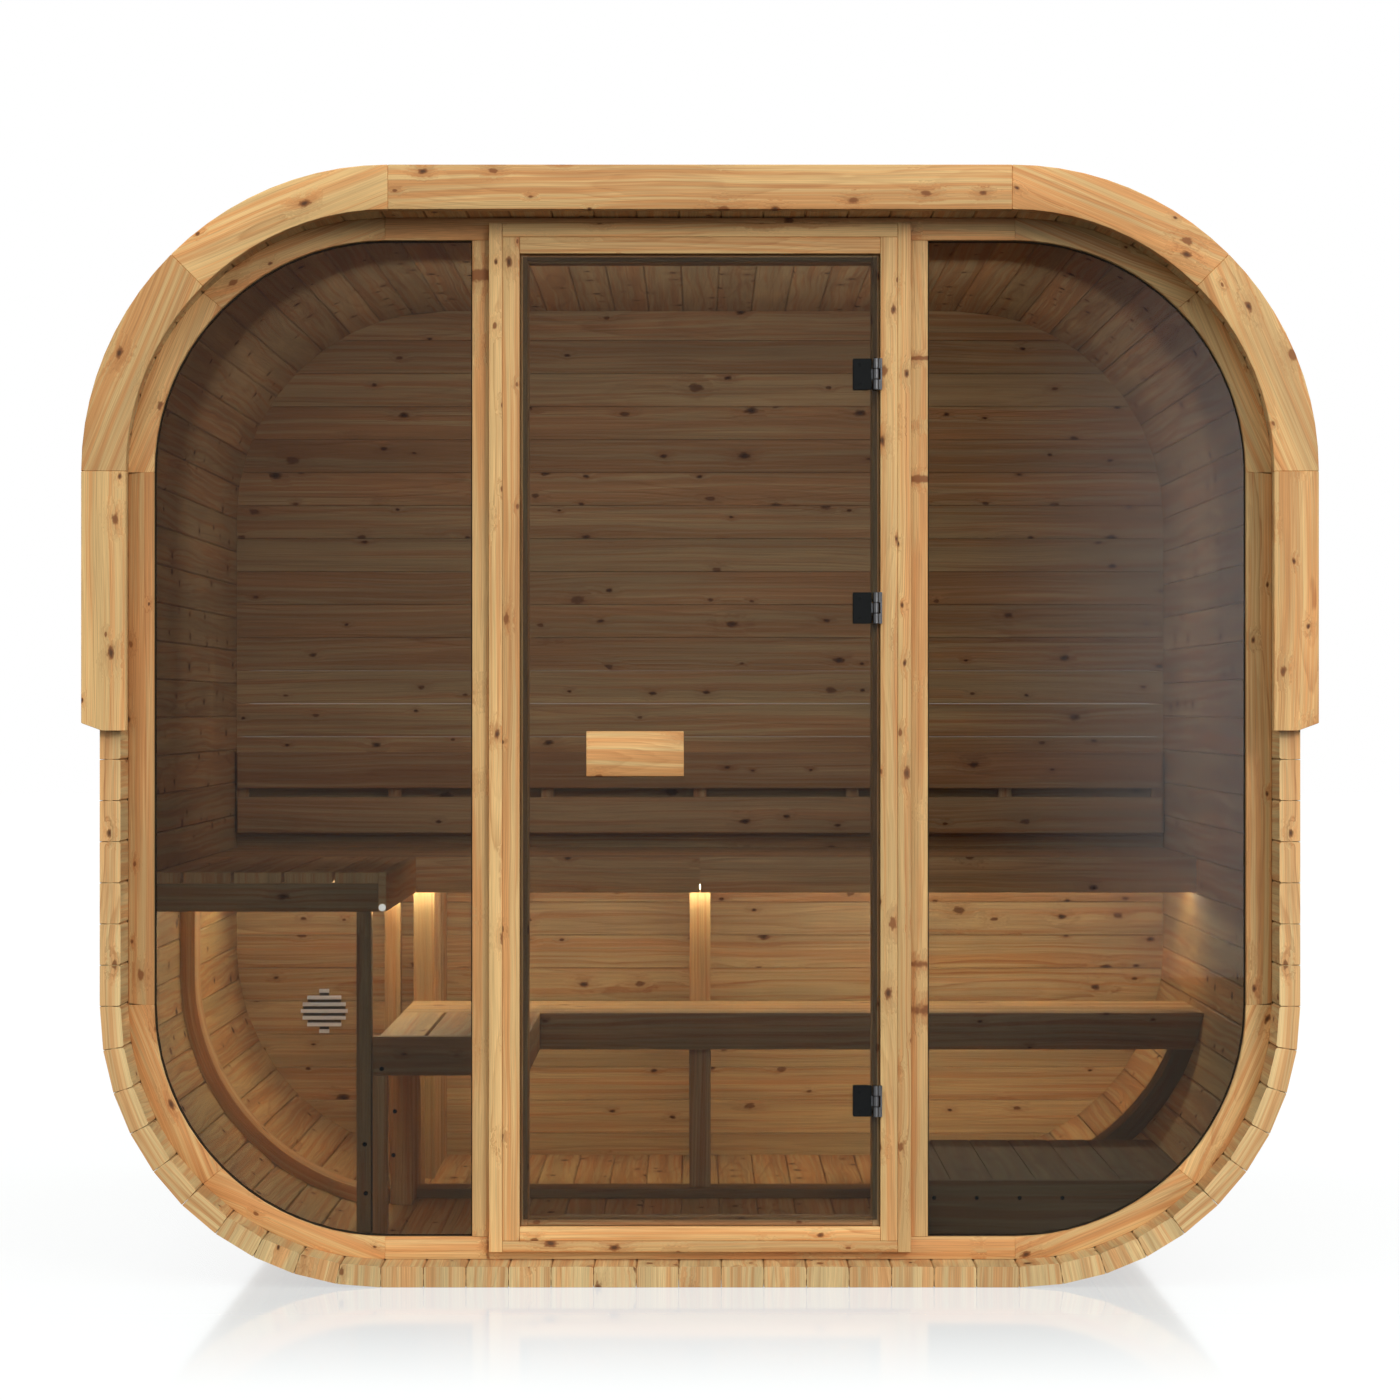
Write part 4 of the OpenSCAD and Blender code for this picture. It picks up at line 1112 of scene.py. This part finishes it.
class SAUNA_OT_ribs(bpy.types.Operator):
    """Builds the rib and the bracket bent to the corners, and the batten on the floor between them"""

    bl_idname = "sauna.ribs"
    bl_label = "Ribs"

    def execute(self, context):
        low, high = BOX["bench_ribs"]
        depth, lap = 90 * MM, 3 * MM
        panel_x = BOX["lower_bench_supports"][0].x
        boards = Boards("ribs")
        bent(boards, -1, 31 * MM - SEAT, low.y, low.y + depth, lap - panel_x, high.z, 0.35)
        # painted shade: the bracket at the right corner and the batten on the floor take tones far below 0, as both
        # lie in the dark
        bent(boards, 1, 40 * MM - SEAT, high.y - depth, high.y, CORNER_X + lap, BOX["lower_front_board"][0].z - SEAT,
             -2.4)
        boards.block((panel_x + POST_T + SEAT, high.y - depth, FLOOR_Z + SEAT),
                     (CORNER_X, high.y, FLOOR_Z + BATTEN_H), "X", tone=PAINTED_SHADE_TONE)
        boards.done("bench_ribs_wood", "Rib", "bench_ribs")
        return {"FINISHED"}


class SAUNA_OT_platform(bpy.types.Operator):
    """Builds the low platform in the right corner: deck boards behind a facing, on boards cut to the curve"""

    bl_idname = "sauna.platform"
    bl_label = "Platform"

    def execute(self, context):
        low, high = BOX["platform_deck"]
        # painted shade: the deck, its facing and the frame boards cut to the curve take a tone below the painted shade
        # tone, as the platform lies in the dark
        facing, pitch, shade = 18 * MM, 80 * MM, PAINTED_SHADE_TONE - 0.1
        boards = Boards("deck")
        cut_to_curve(boards, low.x, low.y, low.y + facing, low.z, high.z, tone=shade)
        x = low.x
        while x + 1.5 * pitch < inner_half(low.z):
            boards.block((x, low.y + facing, low.z), (x + pitch - 1 * MM, high.y, high.z), "Y", 2.5 * MM, shade)
            x += pitch
        cut_to_curve(boards, x, low.y + facing, high.y, low.z, high.z, "Y", shade)
        boards.done("platform_deck_boards", "Bench", "platform_deck")
        screws = bmesh.new()
        for i in range(4):
            screw_head(screws, Vector((low.x + pitch * (i + 0.59), low.y, low.z + 9.5 * MM)), -1, 4 * MM)
        make_piece(screws, "platform_screws", "Black powder coat", "black_metal")
        low, high = BOX["platform_frame"]
        boards = Boards("platform frame")
        for y in (low.y, high.y - SLIM_T):
            cut_to_curve(boards, low.x, y, y + SLIM_T, low.z, high.z, tone=shade)
        for x in (low.x, low.x + 250 * MM):
            boards.block((x, low.y + SLIM_T + SEAT, floor_at(x + SLIM_T)),
                         (x + SLIM_T, high.y - SLIM_T - SEAT, high.z), "Y")
        boards.done("platform_frame_boards", "Bench", "platform_frame")
        return {"FINISHED"}


class SAUNA_OT_backrest(bpy.types.Operator):
    """Builds the backrest boards and the battens behind them"""

    bl_idname = "sauna.backrest"
    bl_label = "Backrest"

    def execute(self, context):
        low, high = BOX["backrest_boards"]
        tall, batten, spaces = 82 * MM, 30 * MM, 6
        boards = Boards("backrest")
        boards.block(low, (high.x, high.y, low.z + tall), "X", 3 * MM)
        boards.block((low.x, low.y, high.z - tall), high, "X", 3 * MM)
        boards.done("backrest_boards_wood", "Bench", "backrest_boards")
        low, high = BOX["backrest_battens"]
        boards = Boards("battens")
        for i in range(spaces + 1):
            x = low.x + (high.x - low.x - batten) / spaces * i
            boards.block((x, low.y, low.z), (x + batten, high.y, high.z), "Z", EASE, 0.9)
        boards.done("backrest_battens_wood", "Bench", "backrest_battens")
        return {"FINISHED"}


# ---- fittings ----


class SAUNA_OT_fittings(bpy.types.Operator):
    """Builds the light strips, the small lamp and the vent grille"""

    bl_idname = "sauna.fittings"
    bl_label = "Lights and vent"

    def execute(self, context):
        low, high = BOX["light_strip"]
        side_low, side_high = BOX["upper_side_board"]
        front, z, strip = high.y - 34 * MM, side_low.z + 3 * MM, 10 * MM
        mesh = bmesh.new()
        metal_box(mesh, (low.x, front, z), (high.x, front + strip, z + strip), 2 * MM)
        metal_box(mesh, (side_low.x - strip, BOX["upper_front_beam"][1].y + 2 * MM, z),
                  (side_low.x, side_high.y, z + strip), 2 * MM)
        make_piece(mesh, "bench_light_strips", "Light diffuser", "light_diffuser", "light_strip")
        boards = Boards("light rail")
        boards.block((low.x, front + strip, z + strip - 3 * MM), (high.x, high.y, z + strip), "X", 1 * MM)
        boards.done("bench_light_rail", "Bench")

        mesh, length = bmesh.new(), 5 * MM
        lamp = Vector(((side_low.x + side_high.x) / 2, side_low.y, side_low.z + 8 * MM))
        dome = (0, 1.0), (-0.45, 1.0), (-0.7, 0.93), (-0.88, 0.72), (-1, 0.35)
        turned(mesh, [(length * at, 7 * MM * share) for at, share in dome], 24,
               lambda a, b, y: lamp + Vector((a, y, b)))
        make_piece(mesh, "side_board_lamp", "Lamp cap", "light_diffuser")
        self.vent()
        return {"FINISHED"}

    def vent(self):
        """The round vent: slats with sloping faces, and dark plates in the slots between them as painted shade."""
        low, high = BOX["vent_grille"]
        centre, radius, count = (low + high) / 2, (high.x - low.x) / 2, 7
        pitch = 2 * radius / count
        mesh, slot_shade, halves = bmesh.new(), bmesh.new(), []
        for i in range(count):
            z = low.z + pitch * (i + 0.5)
            off = abs(z - centre.z) + pitch * 0.42
            halves.append(max(math.sqrt(max(radius ** 2 - off ** 2, 0)), 10 * MM))
            louvre(mesh, centre.x, halves[-1], z, pitch, low.y, high.y)
        # dark plates set in the slots: painted shade where the gaps between the louvres fall in shadow
        for i, (one, two) in enumerate(zip(halves, halves[1:])):
            half = min(one, two) - 1 * MM
            z = low.z + pitch * (i + 1)
            metal_box(slot_shade, (centre.x - half, high.y - 1.5 * MM, z - pitch * 0.3),
                      (centre.x + half, high.y, z + pitch * 0.3), 0.3 * MM)
        make_piece(slot_shade, "vent_grille_slot_shade", "Vent slot shade", "vent_plastic")
        make_piece(mesh, "vent_grille_louvres", "Vent plastic", "vent_plastic", "vent_grille", angle=40)


def louvre(mesh, x, half, z, pitch, y0, y1):
    """One slat of the vent, with a sloping face and a dark step under it."""
    deep = y1 - y0
    profile = [(y1, z - pitch * 0.24), (y0 + deep * 0.3, z - pitch * 0.28), (y0 + deep * 0.05, z - pitch * 0.26),
               (y0, z - pitch * 0.18), (y0 + deep * 0.06, z - pitch * 0.05), (y0 + deep * 0.7, z + pitch * 0.26),
               (y1, z + pitch * 0.28)]
    ease, back = 1.2 * MM, 0.8 * MM
    rings = []
    for end, pull in ((-half, back), (ease - half, 0), (half - ease, 0), (half, back)):
        rings.append([mesh.verts.new((x + end, y + (pull if y < y1 else 0), level)) for y, level in profile])
    skin(mesh, rings)


# ---- stage ----


def seen_directly(s):
    """1 for what the eye sees, straight, mirrored or through glass, and 0 for rays that carry light to the wood."""
    path = s.tree.nodes.new("ShaderNodeLightPath").outputs
    seen = s.math("MAXIMUM", path["Is Camera Ray"], path["Is Glossy Ray"])
    seen = s.math("MAXIMUM", seen, path["Is Transmission Ray"])
    return s.math("MULTIPLY", seen, s.math("LESS_THAN", path["Diffuse Depth"], 0.5))


def put(name, data, place, turn=(0, 0, 0)):
    """An object of the stage, in its place."""
    made = bpy.data.objects.new(name, data)
    made.location, made.rotation_euler = place, turn
    bpy.context.scene.collection.objects.link(made)
    return made


def area_lamp(name, shape, size, power, color, place, turn):
    """An area lamp, and its object."""
    data = bpy.data.lights.new(name, "AREA")
    data.shape, data.energy, data.color = shape, power, color
    data.size, data.size_y = size
    return put(name, data, place, turn)


def sheet(name, segments, size, place, turn=(0, 0, 0)):
    """A flat sheet of the stage, its object, and the shading and output of its material."""
    mesh = bmesh.new()
    bmesh.ops.create_grid(mesh, x_segments=segments, y_segments=segments, size=size)
    data = bpy.data.meshes.new(name)
    mesh.to_mesh(data)
    mesh.free()
    material, s, output = new_material(name)
    data.materials.append(material)
    made = put(name, data, place, turn)
    return made, s, output


class SAUNA_OT_stage(bpy.types.Operator):
    """Sets up the floor, the lamps, the even light and the camera"""

    bl_idname = "sauna.stage"
    bl_label = "Stage"

    def execute(self, context):
        scene = context.scene
        light = scene.sauna_light
        self.camera(scene)
        self.floor()
        self.world(scene, light.sky_strength)
        place = Vector((3.1, -6.8, 3.6))
        area_lamp("Key", "DISK", (1.7, 1.7), light.key_power, light.lamp_color, place,
                  (Vector((0, 0, 1.0)) - place).to_track_quat("-Z", "Y").to_euler())
        self.inside_lamp("Cabin", light.cabin_power, (0.85, 0.92, 1.0), (1.4, 0.7), (0, -0.2, 1.5), 90)
        self.inside_lamp("Under", light.under_power, (0.73, 0.87, 1.0), (1.9, 0.05),
                         (0, BOX["light_strip"][1].y + 60 * MM, 0.68), 75)
        self.inside_lamp("Low", light.low_power, (1.0, 0.98, 0.6), (1.3, 0.05),
                         (0.1, BOX["bench_ribs"][1].y + 10 * MM, 0.35), 75)
        self.card(light.haze)
        scene.view_settings.view_transform = "Standard"
        return {"FINISHED"}

    def inside_lamp(self, name, power, color, size, place, tilt):
        """A wide soft lamp in the cabin, turned to the back, that only shows as light on the wood."""
        lamp = area_lamp(name, "RECTANGLE", size, power, color, place, (math.radians(tilt), 0, 0))
        lamp.visible_camera = lamp.visible_transmission = lamp.visible_glossy = False

    def card(self, strength):
        """A pale card behind the camera, brightest in its middle, whose mirror image hazes the right window."""
        card, s, output = sheet("Haze card", 1, 0.5, (2.9, -9.0, 1.35), (math.pi / 2, 0, math.pi))
        card.scale = (4.0, 5.5, 1)
        card.visible_camera = card.visible_diffuse = card.visible_transmission = card.visible_shadow = False
        spread = s.node("VectorMath", (s.node("TexCoord", out=3), (0.0, 0.0, 0.0)), out=1, operation="DISTANCE")
        bright = s.math("MULTIPLY", s.ramp(spread, 0.5, 0.12), strength)
        glow = s.node("Emission", {"Color": (0.96, 0.98, 1.0, 1), "Strength": bright})
        s.tree.links.new(glow, output.inputs[0])

    def camera(self, scene):
        """A long lens, level, straight in front at chest height."""
        data = bpy.data.cameras.new("Camera")
        data.sensor_width = 36
        data.lens = 100.2
        data.shift_y = 0.0064
        data.clip_end = 200
        scene.camera = put("Camera", data, (0, -8.1, 1.06), (math.pi / 2, 0, 0))

    def floor(self):
        """A wide white floor that keeps the soft shadow and mirrors a little in front of the sauna."""
        floor, s, output = sheet("Floor", 8, 40, (0, 0, -0.5 * MM))
        plain = s.node("BsdfDiffuse", {"Color": (0.02, 0.02, 0.02, 1)})
        half = s.node("BsdfDiffuse", {"Color": (0.13, 0.13, 0.13, 1)})
        lift = s.node("Emission", {"Color": (1, 1, 1, 1), "Strength": 0.84})
        depth = s.node("SeparateXYZ", (s.node("TexCoord", out=3),), out=1)
        gloss = s.node("BsdfGlossy", {"Color": (1, 1, 1, 1), "Roughness": 0.07})
        both = s.node("MixShader", (s.ramp(depth, -2.2, -1.1, 0.0, 0.3), s.node("AddShader", (half, lift)), gloss))
        s.tree.links.new(s.node("MixShader", (seen_directly(s), plain, both)), output.inputs[0])

    def world(self, scene, strength):
        """Even light from all sides, with a white view behind the object."""
        scene.world = bpy.data.worlds.new("Studio")
        scene.world.use_nodes = True
        tree = scene.world.node_tree
        tree.nodes.clear()
        s = Shading(tree)
        output = tree.nodes.new("ShaderNodeOutputWorld")
        even = s.node("Background", {"Color": (0.88, 1.0, 0.98, 1), "Strength": strength})
        white = s.node("Background", {"Color": (1, 1, 1, 1), "Strength": 1.0})
        tree.links.new(s.node("MixShader", (seen_directly(s), even, white)), output.inputs[0])


# ---- panel and registration ----


PIECES = (SAUNA_OT_stage, SAUNA_OT_staves, SAUNA_OT_roof, SAUNA_OT_back_wall, SAUNA_OT_fascias,
          SAUNA_OT_glazing_frame, SAUNA_OT_door_frame, SAUNA_OT_door, SAUNA_OT_upper_bench, SAUNA_OT_lower_bench,
          SAUNA_OT_ribs, SAUNA_OT_platform, SAUNA_OT_backrest, SAUNA_OT_fittings)


class SAUNA_PT_panel(bpy.types.Panel):
    """Lists the sauna's settings and pieces"""

    bl_idname = "SAUNA_PT_panel"
    bl_label = "Cube sauna"
    bl_space_type = "VIEW_3D"
    bl_region_type = "UI"
    bl_category = "Sauna"

    def draw(self, context):
        for group in SETTINGS:
            settings = getattr(context.scene, group)
            box = self.layout.box()
            for name in settings.__annotations__:
                box.prop(settings, name)
        for piece in PIECES:
            self.layout.operator(piece.bl_idname)


SETTINGS = {"sauna_wood": SaunaWood, "sauna_boards": SaunaBoards, "sauna_light": SaunaLight}
CLASSES = (*SETTINGS.values(), *PIECES, SAUNA_PT_panel)


def register():
    """Adds the settings, the operators and the panel to Blender."""
    for cls in CLASSES:
        bpy.utils.register_class(cls)
    for name, group in SETTINGS.items():
        setattr(bpy.types.Scene, name, bpy.props.PointerProperty(type=group))


def unregister():
    """Takes them out again."""
    for name in SETTINGS:
        delattr(bpy.types.Scene, name)
    for cls in reversed(CLASSES):
        bpy.utils.unregister_class(cls)


def main():
    """Builds the whole sauna."""
    register()
    make_materials()
    for piece in PIECES:
        group, name = piece.bl_idname.split(".")
        getattr(getattr(bpy.ops, group), name)()


if __name__ == "__main__":
    main()
